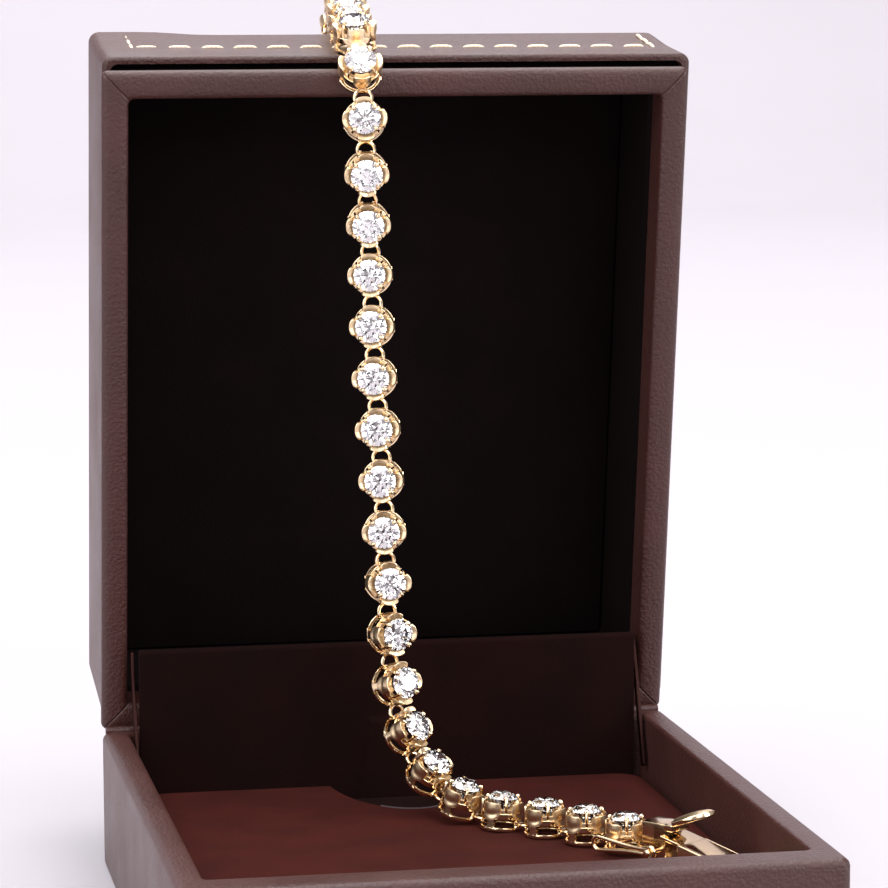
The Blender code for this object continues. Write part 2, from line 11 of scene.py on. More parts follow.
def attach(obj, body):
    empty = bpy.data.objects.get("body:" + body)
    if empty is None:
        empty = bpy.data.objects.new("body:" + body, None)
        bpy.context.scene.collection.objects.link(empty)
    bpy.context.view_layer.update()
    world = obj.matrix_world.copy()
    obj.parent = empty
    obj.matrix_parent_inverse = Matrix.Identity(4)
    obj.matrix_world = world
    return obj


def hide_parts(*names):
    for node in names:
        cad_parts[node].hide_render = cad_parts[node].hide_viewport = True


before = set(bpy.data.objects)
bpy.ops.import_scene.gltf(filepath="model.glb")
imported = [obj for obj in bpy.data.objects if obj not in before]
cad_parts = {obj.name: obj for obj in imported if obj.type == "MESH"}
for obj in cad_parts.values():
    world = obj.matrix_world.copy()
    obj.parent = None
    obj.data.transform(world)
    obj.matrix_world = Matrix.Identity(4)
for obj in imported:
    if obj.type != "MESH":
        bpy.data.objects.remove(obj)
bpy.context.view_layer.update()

bl_info = {
    "name": "Tennis bracelet on its box",
    "version": (1, 0, 0),
    "blender": (4, 5, 0),
    "location": "3D View > Sidebar > Bracelet",
    "description": "Builds a four-petal tennis bracelet draped over an open presentation box",
    "category": "Object",
}

MM = 0.001
BODY = "box_and_bracelet"

# The chain, as the solids have it
LINK_COUNT = 32
BAND_OUTER = 2.12
BAND_WALL = 0.37
RING_WIRE = 0.19
RING_PLAY = 0.20
RING_BITE = 0.05
LINK_GAP = 0.91
POST_MIDDLE = BAND_OUTER - BAND_WALL / 2
SOLDER_RADIUS = BAND_OUTER - RING_BITE
RING_REACH = LINK_GAP + RING_BITE + BAND_WALL / 2
RING_BEHIND = BAND_WALL / 2 + RING_PLAY + RING_WIRE
RING_RADIUS = (RING_REACH + RING_BEHIND) / 2
TONGUE_LENGTH = 9.0

# A setting
WINDOW_TOP = 0.39
BASE_BOTTOM = -0.76
CUP_MIDDLE = 1.22
RIM_LEVEL = 2.06
SEAT_LEVEL = 1.80
PETAL_LEAN = 0.04
GIRDLE_LEVEL = 2.31
PETAL_HALF = radians(30)

# The clasp
BLOCK_LENGTH = 2.95
EYE_LENGTH = 1.15
BLOCK_WIDTH = 2.6
CLASP_BELOW = 1.05
CLASP_TOP = 2.75
CLASP_LENGTH = 11.4
CLASP_WIDTH = 4.3
CLASP_WALL = 0.45
WALL_START = 4.7
CASE_HIGH = 2.25
CASE_LOW = 0.85
RAMP_TOP = 1.75
RAMP_END = 9.6
RAMP_THICK = 0.35
PIN_RADIUS = 0.22
PIN_PLAY = 0.07
KNUCKLE_WALL = 0.25
KNUCKLE_WIDTH = 1.2
LEVER_LENGTH = 4.1
LEVER_WIDTH = 4.1
LEVER_THICK = 0.55
LEVER_RAISED = radians(20)
PETAL_ACROSS = 2.30
CATCH_WIRE = 0.21
CATCH_LENGTH = 7.6
CATCH_HEIGHT = 1.7
CATCH_CLEAR = 0.3
STUD_HEAD = 0.38

# The box
BOX_WIDTH = 60.0
BOX_DEPTH = 69.5
BASE_HEIGHT = 13.9
SIDE_WALL = 2.7
FRONT_WALL = 4.4
BACK_WALL = 2.0
FLOOR_THICK = 1.5
CORNER_RADIUS = 1.0
PAD_TOP = 8.0
LID_OPEN = radians(80.8)
LID_DEPTH = 20.0
FRAME_DEPTH = 4.1
FRAME_FACE = 2.8
SHELL_OVERHANG = 0.35
SHELL_BACK = 2.4
SHELL_ASIDE = 0.8
COVER_THICK = 0.8
COVER_TOP = 22.8
FIT_GAP = 0.3

# The chain's route: x, y, z in mm at the windows' level, roll in degrees, from the tongue to the clasp
ROUTE = [
    (-2.95, 54.1, 28.6, 0), (-2.85, 53.3, 33.7, 0), (-2.75, 52.45, 38.8, 0), (-2.65, 51.6, 43.9, 0),
    (-2.55, 50.8, 49.0, 0), (-2.45, 50.0, 54.1, 0), (-2.35, 49.2, 59.2, 0), (-2.25, 48.65, 64.3, 0),
    (-2.2, 48.5, 69.4, 0), (-2.15, 48.6, 74.5, 0), (-2.1, 48.75, 79.6, 0), (-2.15, 47.55, 84.55, 0),
    (-2.45, 43.8, 87.8, 0), (-2.95, 39.0, 87.65, 0), (-3.45, 34.9, 86.55, 0), (-3.9, 31.0, 85.75, 2),
    (-4.1, 26.6, 85.7, 5), (-4.4, 22.15, 82.75, 6), (-4.2, 20.4, 77.75, 8), (-4.1, 20.4, 72.6, 8),
    (-3.75, 21.2, 67.6, 10), (-3.5, 21.3, 62.45, 14), (-3.35, 21.0, 57.3, 16), (-3.2, 20.75, 52.15, 16),
    (-2.95, 20.45, 47.0, 16), (-2.65, 20.1, 41.85, 16), (-2.55, 19.75, 36.7, 12), (-2.5, 19.4, 31.5, 0),
    (-2.4, 18.95, 26.35, -16), (-2.15, 18.4, 21.1, -27), (-1.35, 16.85, 16.15, -33), (0.5, 13.95, 12.0, -26),
    (3.3, 10.3, 9.6, -16), (6.9, 6.5, 9.05, -5), (10.5, 2.9, 9.1, 0), (13.6, -1.2, 9.2, 0),
    (16.4, -5.5, 9.3, 0), (19.5, -9.6, 9.35, 0),
]


# ---------------------------------------------------------------- sizes and colours that a user would change

def linear(code):
    """An sRGB colour written #rrggbb as linear red, green and blue."""
    parts = np.array([int(code[i:i + 2], 16) for i in (1, 3, 5)]) / 255
    return tuple(np.where(parts <= 0.04045, parts / 12.92, ((parts + 0.055) / 1.055) ** 2.4).tolist())


def colour_property(name, code, description):
    return FloatVectorProperty(name=name, description=description, default=linear(code), subtype="COLOR", min=0, max=1)


class BraceletSettings(bpy.types.PropertyGroup):
    stone_radius: FloatProperty(name="Stone radius", description="Radius of each round stone at its girdle",
                                default=1.60 * MM, unit="LENGTH")
    table_share: FloatProperty(name="Table", description="Width of the stone's table as a share of its width",
                               default=0.55, subtype="FACTOR")
    crown_height: FloatProperty(name="Crown height", description="Height of the table above the girdle",
                                default=0.55 * MM, unit="LENGTH")
    claw_radius: FloatProperty(name="Claw radius", description="Radius of a claw's wire",
                               default=0.15 * MM, unit="LENGTH")
    bead_radius: FloatProperty(name="Claw bead radius", description="Radius of the bead that holds the stone",
                               default=0.27 * MM, unit="LENGTH")
    dish_depth: FloatProperty(name="Petal dish", description="Depth of the hollow in a petal's outer face",
                              default=0.12 * MM, unit="LENGTH")
    gold: colour_property("Gold", "#F9DDB4", "Colour of the polished yellow gold")
    stone: colour_property("Stone", "#fffdfc", "Tint of the stones")


class BoxSettings(bpy.types.PropertyGroup):
    leatherette: colour_property("Leatherette", "#3b1d19", "Colour of the covering outside")
    pad: colour_property("Pad velvet", "#34100b", "Colour of the pad's velvet")
    # The lining's colour is also painted as black shade in the gap between the lid's shell and its frame
    lining: colour_property("Lining velvet", "#0d0505", "Colour of the lid's lining")
    thread: colour_property("Thread", "#fbe4c4", "Colour of the stitching on the lid")
    grain_size: FloatProperty(name="Grain", description="Width of one pebble of the leatherette's grain",
                              default=0.38 * MM, unit="LENGTH")
    pad_crown: FloatProperty(name="Pad crown", description="Rise of the pad's middle over its edge",
                             default=0.28 * MM, unit="LENGTH")
    stitch_pitch: FloatProperty(name="Stitch pitch", description="From one stitch to the next",
                                default=3.3 * MM, unit="LENGTH")


class StageSettings(bpy.types.PropertyGroup):
    floor: colour_property("Floor", "#b0abb1", "Colour of the floor and backdrop")
    sky: FloatProperty(name="Sky light", description="Strength of the even light all round", default=0.42)
    key: FloatProperty(name="Key light", description="Power of the large light above, in watts", default=2.6)


# ---------------------------------------------------------------- meshes

def unit(v):
    return v / np.linalg.norm(v)


def grid_faces(rows, columns, wrap_rows=False, wrap_columns=True):
    """The quads of a grid of rows and columns of points, closed round on itself where asked."""
    r = np.arange(rows if wrap_rows else rows - 1)
    c = np.arange(columns if wrap_columns else columns - 1)
    r, c = np.meshgrid(r, c, indexing="ij")
    up, across = (r + 1) % rows, (c + 1) % columns
    quads = [r * columns + c, r * columns + across, up * columns + across, up * columns + c]
    return np.stack(quads, -1).reshape(-1, 4)


def grid_shell(points, wrap_rows=False, wrap_columns=True, capped=False, finish=0):
    """A shell from a grid of points (rows, columns, 3); capped closes the first and last rows with one face each."""
    rows, columns = points.shape[:2]
    faces = [grid_faces(rows, columns, wrap_rows, wrap_columns)]
    if capped:
        loop = np.arange(columns)[None]
        faces += [loop[:, ::-1], loop + (rows - 1) * columns]
    return points.reshape(-1, 3), faces, [np.full(len(f), finish) for f in faces]


def placed(shell, place):
    """A shell carried by a placement: its three axes as columns, and its origin."""
    points, faces, finishes = shell
    return points @ place[0].T + place[1], faces, finishes


def make_piece(name, shells, finishes, sharp=None):
    """One mesh object at the origin from shells in mm. sharp is the angle past which an edge stays sharp, or None
    for flat faces."""
    points, loops, sizes, slots, first = [], [], [], [], 0
    for shell_points, shell_faces, shell_slots in shells:
        points.append(shell_points)
        for faces, slot in zip(shell_faces, shell_slots):
            loops.append((faces + first).ravel())
            sizes.append(np.full(len(faces), faces.shape[1]))
            slots.append(slot)
        first += len(shell_points)
    points, loops = np.vstack(points) * MM, np.concatenate(loops)
    sizes, slots = np.concatenate(sizes), np.concatenate(slots)
    mesh = bpy.data.meshes.new(name)
    mesh.vertices.add(len(points))
    mesh.vertices.foreach_set("co", points.ravel())
    mesh.loops.add(len(loops))
    mesh.loops.foreach_set("vertex_index", loops)
    mesh.polygons.add(len(sizes))
    mesh.polygons.foreach_set("loop_start", np.concatenate([[0], np.cumsum(sizes)[:-1]]))
    mesh.polygons.foreach_set("material_index", slots)
    mesh.update(calc_edges=True)
    mesh.validate()
    shape = bmesh.new()
    shape.from_mesh(mesh)
    bmesh.ops.recalc_face_normals(shape, faces=shape.faces)
    shape.to_mesh(mesh)
    shape.free()
    mesh.polygons.foreach_set("use_smooth", np.full(len(mesh.polygons), sharp is not None))
    if sharp is not None:
        mesh.set_sharp_from_angle(angle=sharp)
    for finish in finishes:
        mesh.materials.append(finish)
    piece = bpy.data.objects.new(name, mesh)
    bpy.context.scene.collection.objects.link(piece)
    return piece


def dress(piece, nodes=(), body=BODY):
    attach(piece, body)
    if nodes:
        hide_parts(*nodes)


def tube(path, radius, normal, sides=12, closed=False):
    """A round wire along a path that lies in the plane of normal: at each point a circle of radius, spanned by the
    plane's normal and the normal's cross product with the path's direction."""
    path = np.asarray(path, float)
    if closed:
        run = np.roll(path, -1, 0) - np.roll(path, 1, 0)
    else:
        run = np.gradient(path, axis=0)
    run /= np.linalg.norm(run, axis=1, keepdims=True)
    normal = unit(np.asarray(normal, float))
    other = np.cross(run, normal)
    other /= np.linalg.norm(other, axis=1, keepdims=True)
    turn = np.linspace(0, 2 * pi, sides, endpoint=False)
    radius = np.broadcast_to(radius, len(path))[:, None, None]
    across, along = np.cos(turn)[None, :, None], np.sin(turn)[None, :, None]
    rings = path[:, None] + radius * (across * normal + along * other[:, None])
    return grid_shell(rings, wrap_rows=closed, capped=not closed)


def ball(middle, radius, sides=12, rows=7):
    """A sphere: circles whose radius and height follow the sine and cosine of the angle from its pole."""
    rise = np.linspace(0.12, pi - 0.12, rows)[:, None]
    turn = np.linspace(0, 2 * pi, sides, endpoint=False)[None]
    points = np.stack([np.sin(rise) * np.cos(turn), np.sin(rise) * np.sin(turn), np.cos(rise) + 0 * turn], -1)
    return grid_shell(points * radius + middle, capped=True)


def rounded_loop(low, high, radius, corner=6, straight=1):
    """A rectangle with round corners as points going round: each corner a quarter circle, each side split evenly."""
    (x0, y0), (x1, y1) = low, high
    radius = min(radius, (x1 - x0) / 2 - 1e-4, (y1 - y0) / 2 - 1e-4)
    arc = np.linspace(0, pi / 2, corner + 1)
    runs = []
    for start, cx, cy in ((0, x1 - radius, y1 - radius), (pi / 2, x0 + radius, y1 - radius),
                          (pi, x0 + radius, y0 + radius), (3 * pi / 2, x1 - radius, y0 + radius)):
        runs.append(np.stack([cx + radius * np.cos(arc + start), cy + radius * np.sin(arc + start)], -1))
    points = []
    for run, following in zip(runs, runs[1:] + runs[:1]):
        points.append(run)
        share = np.linspace(0, 1, straight + 1)[1:-1, None]
        points.append(run[-1] * (1 - share) + following[0] * share)
    return np.vstack(points)


def stacked(loops, levels):
    """Loops of (x, y) points stood at levels, as a grid of points."""
    return np.stack([np.column_stack([loop, np.full(len(loop), level)]) for loop, level in zip(loops, levels)])


def rounded_block(low, high, corner, edge, straight=1):
    """A block whose upright corners have the radius corner and whose upper and lower edges are rounded by edge."""
    turn = np.linspace(0, pi / 2, 4)
    inset = np.concatenate([edge * (1 - np.sin(turn)), edge * (1 - np.cos(turn))])
    level = np.concatenate([low[2] + edge * (1 - np.cos(turn)), high[2] - edge * (1 - np.sin(turn))])
    loops = [rounded_loop((low[0] + i, low[1] + i), (high[0] - i, high[1] - i), max(corner - i, edge * 0.2),
                          5, straight) for i in inset]
    return grid_shell(stacked(loops, level), capped=True)


def plate(outline, low, high, edge):
    """A plate: an outline of (x, y) points, drawn in along its own normals to round the upper and lower edges."""
    outline = np.asarray(outline, float)
    before = outline - np.roll(outline, 1, 0)
    after = np.roll(outline, -1, 0) - outline
    before /= np.linalg.norm(before, axis=1, keepdims=True)
    after /= np.linalg.norm(after, axis=1, keepdims=True)
    inward = np.stack([-(before + after)[:, 1], (before + after)[:, 0]], -1)
    inward /= (1 + (before * after).sum(1))[:, None]
    area = np.cross(outline, np.roll(outline, -1, 0)).sum()
    inward *= np.sign(area)
    turn = np.linspace(0, pi / 2, 4)
    inset = np.concatenate([edge * (1 - np.sin(turn)), edge * (1 - np.cos(turn))])
    level = np.concatenate([low + edge * (1 - np.cos(turn)), high - edge * (1 - np.sin(turn))])
    return grid_shell(stacked([outline + inward * i for i in inset], level), capped=True)


def turned(shell, order):
    """A shell with its axes taken in another order."""
    return shell[0][:, order], shell[1], shell[2]


def slab(front, back):
    """A closed slab between two grids of points of the same size, joined along their borders."""
    rows, columns = front.shape[:2]
    count = rows * columns
    quads = grid_faces(rows, columns, wrap_columns=False)
    index = np.arange(count).reshape(rows, columns)
    border = np.concatenate([index[0, :-1], index[:-1, -1], index[-1, :0:-1], index[:0:-1, 0]])
    following = np.roll(border, -1)
    sides = np.stack([border, following, following + count, border + count], -1)
    faces = [np.vstack([quads, quads[:, ::-1] + count, sides])]
    return np.vstack([front.reshape(-1, 3), back.reshape(-1, 3)]), faces, [np.zeros(len(faces[0]), int)]


# ---------------------------------------------------------------- materials

def add_node(tree, kind, inputs=None, **settings):
    """Adds a shader node, sets its own properties, and feeds its inputs by value or by link."""
    node = tree.nodes.new(kind)
    for name, value in settings.items():
        setattr(node, name, value)
    for name, value in (inputs or {}).items():
        if isinstance(value, bpy.types.NodeSocket):
            tree.links.new(value, node.inputs[name])
        else:
            node.inputs[name].default_value = value
    return node


def start_material(name, **constants):
    """A material with its shader's own sockets set. Returns it, its tree, its shader and the Object coordinates."""
    made = bpy.data.materials.new(name)
    made.use_nodes = True
    tree = made.node_tree
    shader = tree.nodes["Principled BSDF"]
    for socket, value in constants.items():
        shader.inputs[socket.replace("_", " ")].default_value = value
    return made, tree, shader, add_node(tree, "ShaderNodeTexCoord").outputs["Object"]


def noise(tree, place, size, detail=2.0, roughness=0.5):
    """Noise whose blotches are about size mm across."""
    return add_node(tree, "ShaderNodeTexNoise", {"Vector": place, "Scale": 1 / (size * MM), "Detail": detail,
                                                 "Roughness": roughness}).outputs["Fac"]


def spread(tree, value, low, high, from_low=0.3, from_high=0.7):
    return add_node(tree, "ShaderNodeMapRange", {"Value": value, "From Min": from_low, "From Max": from_high,
                                                 "To Min": low, "To Max": high}).outputs["Result"]


def blend_colours(tree, share, one, other):
    mixed = add_node(tree, "ShaderNodeMix", data_type="RGBA")
    tree.links.new(share, mixed.inputs[0])
    mixed.inputs[6].default_value = (*one, 1)
    mixed.inputs[7].default_value = (*other, 1)
    return mixed.outputs[2]


def shaded(colour, factor):
    return tuple(min(1.0, c * factor) for c in colour)


def add_bump(tree, shader, height, strength, depth):
    """A bump of depth mm from a height between 0 and 1."""
    bump = add_node(tree, "ShaderNodeBump", {"Height": height, "Strength": strength, "Distance": depth * MM})
    tree.links.new(bump.outputs["Normal"], shader.inputs["Normal"])


def yellow_gold(name, low, high):
    """14k yellow gold with the faint unevenness of hand finishing, its roughness between low and high."""
    if name in bpy.data.materials:
        return bpy.data.materials[name]
    colour = tuple(bpy.context.scene.bracelet.gold)
    made, tree, shader, place = start_material(name, Metallic=1.0)
    haze = noise(tree, place, 0.9, 3.0)
    tree.links.new(spread(tree, haze, low, high), shader.inputs["Roughness"])
    tree.links.new(blend_colours(tree, spread(tree, haze, 0, 1), colour, shaded(colour, 0.94)),
                   shader.inputs["Base Color"])
    add_bump(tree, shader, noise(tree, place, 0.35, 2.0), 0.25, 0.004)
    return made


def both_golds():
    """Polished where it was buffed, satin in the petals' faces and the lever's lens."""
    return [yellow_gold("polished_yellow_gold", 0.08, 0.18), yellow_gold("satin_yellow_gold", 0.27, 0.38)]


def cut_stone():
    """Clear cut stone with the refraction of diamond."""
    made, tree, shader, place = start_material(
        "clear_cut_stone", Roughness=0.0, IOR=2.417, Transmission_Weight=1.0)
    colour = tuple(bpy.context.scene.bracelet.stone)
    cloud = spread(tree, noise(tree, place, 0.8), 0, 1)
    tree.links.new(blend_colours(tree, cloud, colour, shaded(colour, 0.97)), shader.inputs["Base Color"])
    return made


def leatherette():
    """Grained leatherette over board: fine pebbles with creases between them, and large patches a little glossier than
    the rest.
    """
    if "brown_leatherette" in bpy.data.materials:
        return bpy.data.materials["brown_leatherette"]
    box = bpy.context.scene.box
    colour = tuple(box.leatherette)
    made, tree, shader, place = start_material(
        "brown_leatherette", Specular_IOR_Level=0.44, Sheen_Weight=0.07, Sheen_Roughness=0.3,
        Sheen_Tint=(*linear("#f0c4bc"), 1))
    pebbles = add_node(tree, "ShaderNodeTexVoronoi", {"Vector": place, "Scale": 1 / box.grain_size, "Smoothness": 0.6,
                                                      "Randomness": 0.9}, feature="SMOOTH_F1").outputs["Distance"]
    large = noise(tree, place, 9.0, 3.0)
    fine = noise(tree, place, 0.12, 2.0)
    tree.links.new(blend_colours(tree, spread(tree, large, 0, 1), shaded(colour, 0.86), shaded(colour, 1.14)),
                   shader.inputs["Base Color"])
    tree.links.new(spread(tree, large, 0.33, 0.43), shader.inputs["Roughness"])
    relief = add_node(tree, "ShaderNodeMath", {0: pebbles, 1: fine}, operation="ADD").outputs[0]
    add_bump(tree, shader, relief, 0.9, 0.07)
    return made


def velvet(name, colour, sheen, tint, fibre=0.14):
    """Short-pile velvet: fine fibres, soft lighter and darker patches where the pile leans, painted into the colour as
    the pile's uneven sheen, and a sheen at grazing angles.
    """
    if name in bpy.data.materials:
        return bpy.data.materials[name]
    made, tree, shader, place = start_material(
        name, Roughness=0.92, Sheen_Weight=sheen, Sheen_Roughness=0.45, Sheen_Tint=(*tint, 1), Specular_IOR_Level=0.1)
    leaning = noise(tree, place, 7.0, 3.0)
    fibres = noise(tree, place, fibre, 2.0, 0.7)
    both = add_node(tree, "ShaderNodeMath", {0: leaning, 1: fibres}, operation="ADD").outputs[0]
    # The large patches in the colour are painted sheen of the leaning pile; the fine speckle follows the fibres
    tree.links.new(blend_colours(tree, spread(tree, both, 0, 1, 0.75, 1.3), shaded(colour, 0.68), shaded(colour, 1.3)),
                   shader.inputs["Base Color"])
    add_bump(tree, shader, fibres, 0.8, 0.09)
    return made


def pad_velvet():
    colour = tuple(bpy.context.scene.box.pad)
    return velvet("pad_velvet_pile", colour, 0.07, linear("#a8544a"))


def grey_cut_and_highlight():
    """The grey of the thin bead along the scoop's lip: partly the cut edge of the pad's grey board, partly a painted
    highlight along the lip's rounded edge.
    """
    made, tree, shader, place = start_material("grey_board_edge", Roughness=0.8)
    fibres = noise(tree, place, 0.2, 3.0)
    tree.links.new(blend_colours(tree, fibres, linear("#2e2426"), linear("#483b3d")), shader.inputs["Base Color"])
    add_bump(tree, shader, fibres, 0.4, 0.03)
    return made


# The lid's lining velvet; its black is also painted as shade in the gap between the lid's shell and its frame
def lining_and_gap_shade():
    colour = tuple(bpy.context.scene.box.lining)
    return velvet("lining_velvet_pile", colour, 0.02, linear("#5a2d28"))


def board_velvet():
    """The pad's velvet, darker, as the hinge board and the scoop's walls show it in the lid's shade."""
    return velvet("board_velvet_pile", shaded(tuple(bpy.context.scene.box.pad), 0.2), 0.03, linear("#8a4a44"))


def sprung_steel():
    """Thin sprung steel strip, dark brown and brushed along its length."""
    made, tree, shader, place = start_material("browned_sprung_steel", Metallic=1.0, Base_Color=(*linear("#2e1c1a"), 1))
    drawn = add_node(tree, "ShaderNodeMapping", {"Vector": place, "Scale": (1.0, 1.0, 0.08)}).outputs["Vector"]
    lines = noise(tree, drawn, 0.08, 2.0)
    tree.links.new(spread(tree, lines, 0.4, 0.55), shader.inputs["Roughness"])
    add_bump(tree, shader, lines, 0.3, 0.01)
    return made


def waxed_thread():
    """Cream waxed thread, its twist seen as fine slanting ridges, painted darker in the grooves between them as shade.
    """
    colour = tuple(bpy.context.scene.box.thread)
    made, tree, shader, place = start_material("cream_waxed_thread", Roughness=0.55, Sheen_Weight=0.2)
    slanted = add_node(tree, "ShaderNodeMapping", {"Vector": place, "Rotation": (0, 0, radians(35))})
    twist = add_node(tree, "ShaderNodeTexWave", {"Vector": slanted.outputs["Vector"], "Scale": 1 / (1.2 * MM),
                                                 "Distortion": 0.4}).outputs["Fac"]
    # Painted shade: the colour darkens in the twist's grooves, where the bump is low
    tree.links.new(blend_colours(tree, twist, shaded(colour, 0.8), colour), shader.inputs["Base Color"])
    add_bump(tree, shader, twist, 0.5, 0.03)
    return made


# ---------------------------------------------------------------- the chain

def smooth_route():
    """A Catmull-Rom curve through the route's points, sampled finely: positions in mm and rolls."""
    points = np.array(ROUTE, float)
    points = np.vstack([2 * points[0] - points[1], points, 2 * points[-1] - points[-2]])
    share = np.linspace(0, 1, 200, endpoint=False)[:, None]
    runs = []
    for a, b, c, d in zip(points, points[1:], points[2:], points[3:]):
        runs.append(0.5 * (2 * b + (c - a) * share + (2 * a - 5 * b + 4 * c - d) * share ** 2
                           + (3 * b - a - 3 * c + d) * share ** 3))
    curve = np.vstack(runs + [points[-2:-1]])
    return curve[:, :3], np.radians(curve[:, 3])


def walk_back(curve, start, distance):
    away = np.linalg.norm(curve[:start] - curve[start], axis=1)
    return int(np.nonzero(away >= distance)[0][-1])


def frame_along(start, end, roll, origin):
    """X from start to end, Z the side away from the box turned by roll about X."""
    along = unit(end - start)
    face = unit(np.cross(along, (1, 0, 0)))
    face = face * cos(roll) + np.cross(along, face) * sin(roll)
    return np.stack([along, np.cross(face, along), face], axis=1), origin


def ring_place(solder, post, face_before, face_after):
    along = unit(post - solder)
    face = face_before + face_after
    face = unit(face - along * face.dot(along))
    return np.stack([along, np.cross(face, along), face], axis=1), solder


def lay_chain():
    """Each link's placement from the clasp back with its ring's, and the clasp's and tongue's."""
    curve, rolls = smooth_route()
    post = len(curve) - 1
    clasp_start = walk_back(curve, post, POST_MIDDLE)
    clasp = frame_along(curve[clasp_start], curve[post], rolls[post], curve[clasp_start])
    post, after, links = clasp_start, clasp, []
    for _ in range(LINK_COUNT):
        solder = walk_back(curve, post, RING_REACH)
        upper = walk_back(curve, solder, SOLDER_RADIUS + POST_MIDDLE)
        middle = curve[solder] + unit(curve[upper] - curve[solder]) * SOLDER_RADIUS
        place = frame_along(curve[upper], curve[solder], rolls[(solder + upper) // 2], middle)
        links.append((place, ring_place(curve[solder], curve[post], place[0][:, 2], after[0][:, 2])))
        post, after = upper, place
    solder = walk_back(curve, post, RING_REACH)
    tail = walk_back(curve, solder, TONGUE_LENGTH)
    tongue = frame_along(curve[tail], curve[solder], rolls[solder], curve[solder])
    return links, clasp, (tongue, ring_place(curve[solder], curve[post], tongue[0][:, 2], after[0][:, 2]))


def cup_shell(dish):
    """The four petals as one closed band carried round the setting. Round the band, q runs from 0 in a petal's middle
    to 1 at its edge. The rim's radius swells by a root of 1 - q squared. The upper edge stays high and drops at the
    petal's sides, the lower edge is half an ellipse. The outer face leans in above its middle, and a bell-shaped
    hollow of depth dish lies below it. The inner face is eight flat facets of an octagon down to the stone's seat."""
    turn = np.linspace(0, 2 * pi, 96, endpoint=False)
    q = np.minimum(np.abs((turn + pi / 4) % (pi / 2) - pi / 4) / PETAL_HALF, 1)
    swell = (1 - q ** 2) ** 0.4
    octagon = cos(pi / 8) / np.cos(turn % (pi / 4) - pi / 8)
    belly = 1.86 + (0.36 + 0.05 * np.sin(turn) ** 2) * swell
    top = CUP_MIDDLE + np.sqrt((RIM_LEVEL - CUP_MIDDLE) ** 2 * (1 - q ** 6) + 0.04)
    bottom = CUP_MIDDLE - np.sqrt(0.80 * (1 - q ** 2) + 0.04)
    rim = belly - PETAL_LEAN * swell

    def inside(level):
        slope = np.maximum(level - SEAT_LEVEL, 0) / (RIM_LEVEL - SEAT_LEVEL)
        return octagon * (1.50 + slope * 0.74)

    rows = []
    soft = 0.04
    for t in np.linspace(-1, 1, 14):
        level = (top + bottom) / 2 + t * ((top - bottom) / 2 - soft)
        hollow = dish * (1 - q ** 2) * np.exp(-((t + 0.30) / 0.38) ** 2)
        lean = PETAL_LEAN * swell * max(t, 0.0) ** 2 + 0.05 * swell * max(-t, 0.0) ** 2
        rows.append((belly - lean - hollow, level))
    edge_level = top - soft
    edge = np.minimum(inside(np.minimum(edge_level, RIM_LEVEL)), rim - 0.05)
    half = (rim - edge) / 2
    for turn_over in np.linspace(0, pi, 8)[1:-1]:
        rows.append((edge + half + half * np.cos(turn_over), edge_level + soft * np.sin(turn_over)))
    rows.append((edge, edge_level))
    seat = np.minimum(SEAT_LEVEL, edge_level - 0.02)
    for share in (0.4, 0.75, 1.0):
        level = edge_level + (seat - edge_level) * share
        rows.append((np.minimum(inside(level), edge), level))
    inner = 1.38
    for share in (0.03, 0.5, 1.0):
        rows.append((np.full(len(turn), inner), seat + (bottom + soft - seat) * share))
    foot = belly - 0.05 * swell
    for turn_over in np.linspace(0, pi, 6)[1:-1]:
        rows.append(((inner + foot) / 2 - (foot - inner) / 2 * np.cos(turn_over),
                     bottom + soft - soft * np.sin(turn_over)))
    radius, level = np.array([r for r, _ in rows]), np.array([z for _, z in rows])
    points = np.stack([radius * np.cos(turn), radius * np.sin(turn), level], -1)
    shell, faces, finishes = grid_shell(points, wrap_rows=True)
    finishes[0][:] = 1
    return shell, faces, finishes


def ring_band(inner, outer, low, high, columns=64, sides=12):
    """A band round the Z axis whose section is a rectangle with soft corners, a superellipse of high power."""
    around = np.linspace(0, 2 * pi, sides, endpoint=False) + pi / sides
    across = np.sign(np.cos(around)) * np.abs(np.cos(around)) ** 0.3
    rise = np.sign(np.sin(around)) * np.abs(np.sin(around)) ** 0.3
    turn = np.linspace(0, 2 * pi, columns, endpoint=False)[None]
    radius = ((inner + outer) / 2 + (outer - inner) / 2 * across)[:, None]
    level = ((low + high) / 2 + (high - low) / 2 * rise)[:, None] + 0 * turn
    return grid_shell(np.stack([radius * np.cos(turn), radius * np.sin(turn), level], -1), wrap_rows=True)


def post_shell(angle):
    """A post of the setting's base: a rounded rectangle carried up, wider where it meets the rail and the petal."""
    rise = np.linspace(-1, 1, 9)
    level = -0.5 + (rise + 1) / 2 * 1.0
    width = 0.42 + 0.3 * rise ** 6
    around = np.linspace(0, 2 * pi, 16, endpoint=False)
    across = np.sign(np.cos(around)) * np.abs(np.cos(around)) ** 0.3
    along = np.sign(np.sin(around)) * np.abs(np.sin(around)) ** 0.3
    out = 1.905 - 0.035 * rise[:, None] + 0.17 * across[None]
    side = width[:, None] * along[None]
    points = np.stack([out * cos(angle) - side * sin(angle), out * sin(angle) + side * cos(angle),
                       level[:, None] + 0 * side], -1)
    return grid_shell(points, capped=True)


def claw_shells(angle, wire, bead):
    """A claw in the gap between two petals: a tapering wire that leans over the stone's edge, ending in a bead."""
    reach = np.array([1.74, 1.78, 1.79, 1.76, 1.70, 1.62, 1.53])
    level = np.array([0.98, 1.25, 1.60, 1.95, 2.20, 2.36, 2.44])
    radius = wire * np.array([0.9, 1.1, 1.05, 1.0, 1.0, 1.05, 1.1])
    path = np.stack([reach * cos(angle), reach * sin(angle), level], -1)
    bead_middle = np.array([1.50 * cos(angle), 1.50 * sin(angle), 2.46])
    return [tube(path, radius, (-sin(angle), cos(angle), 0), 8), ball(bead_middle, bead)]


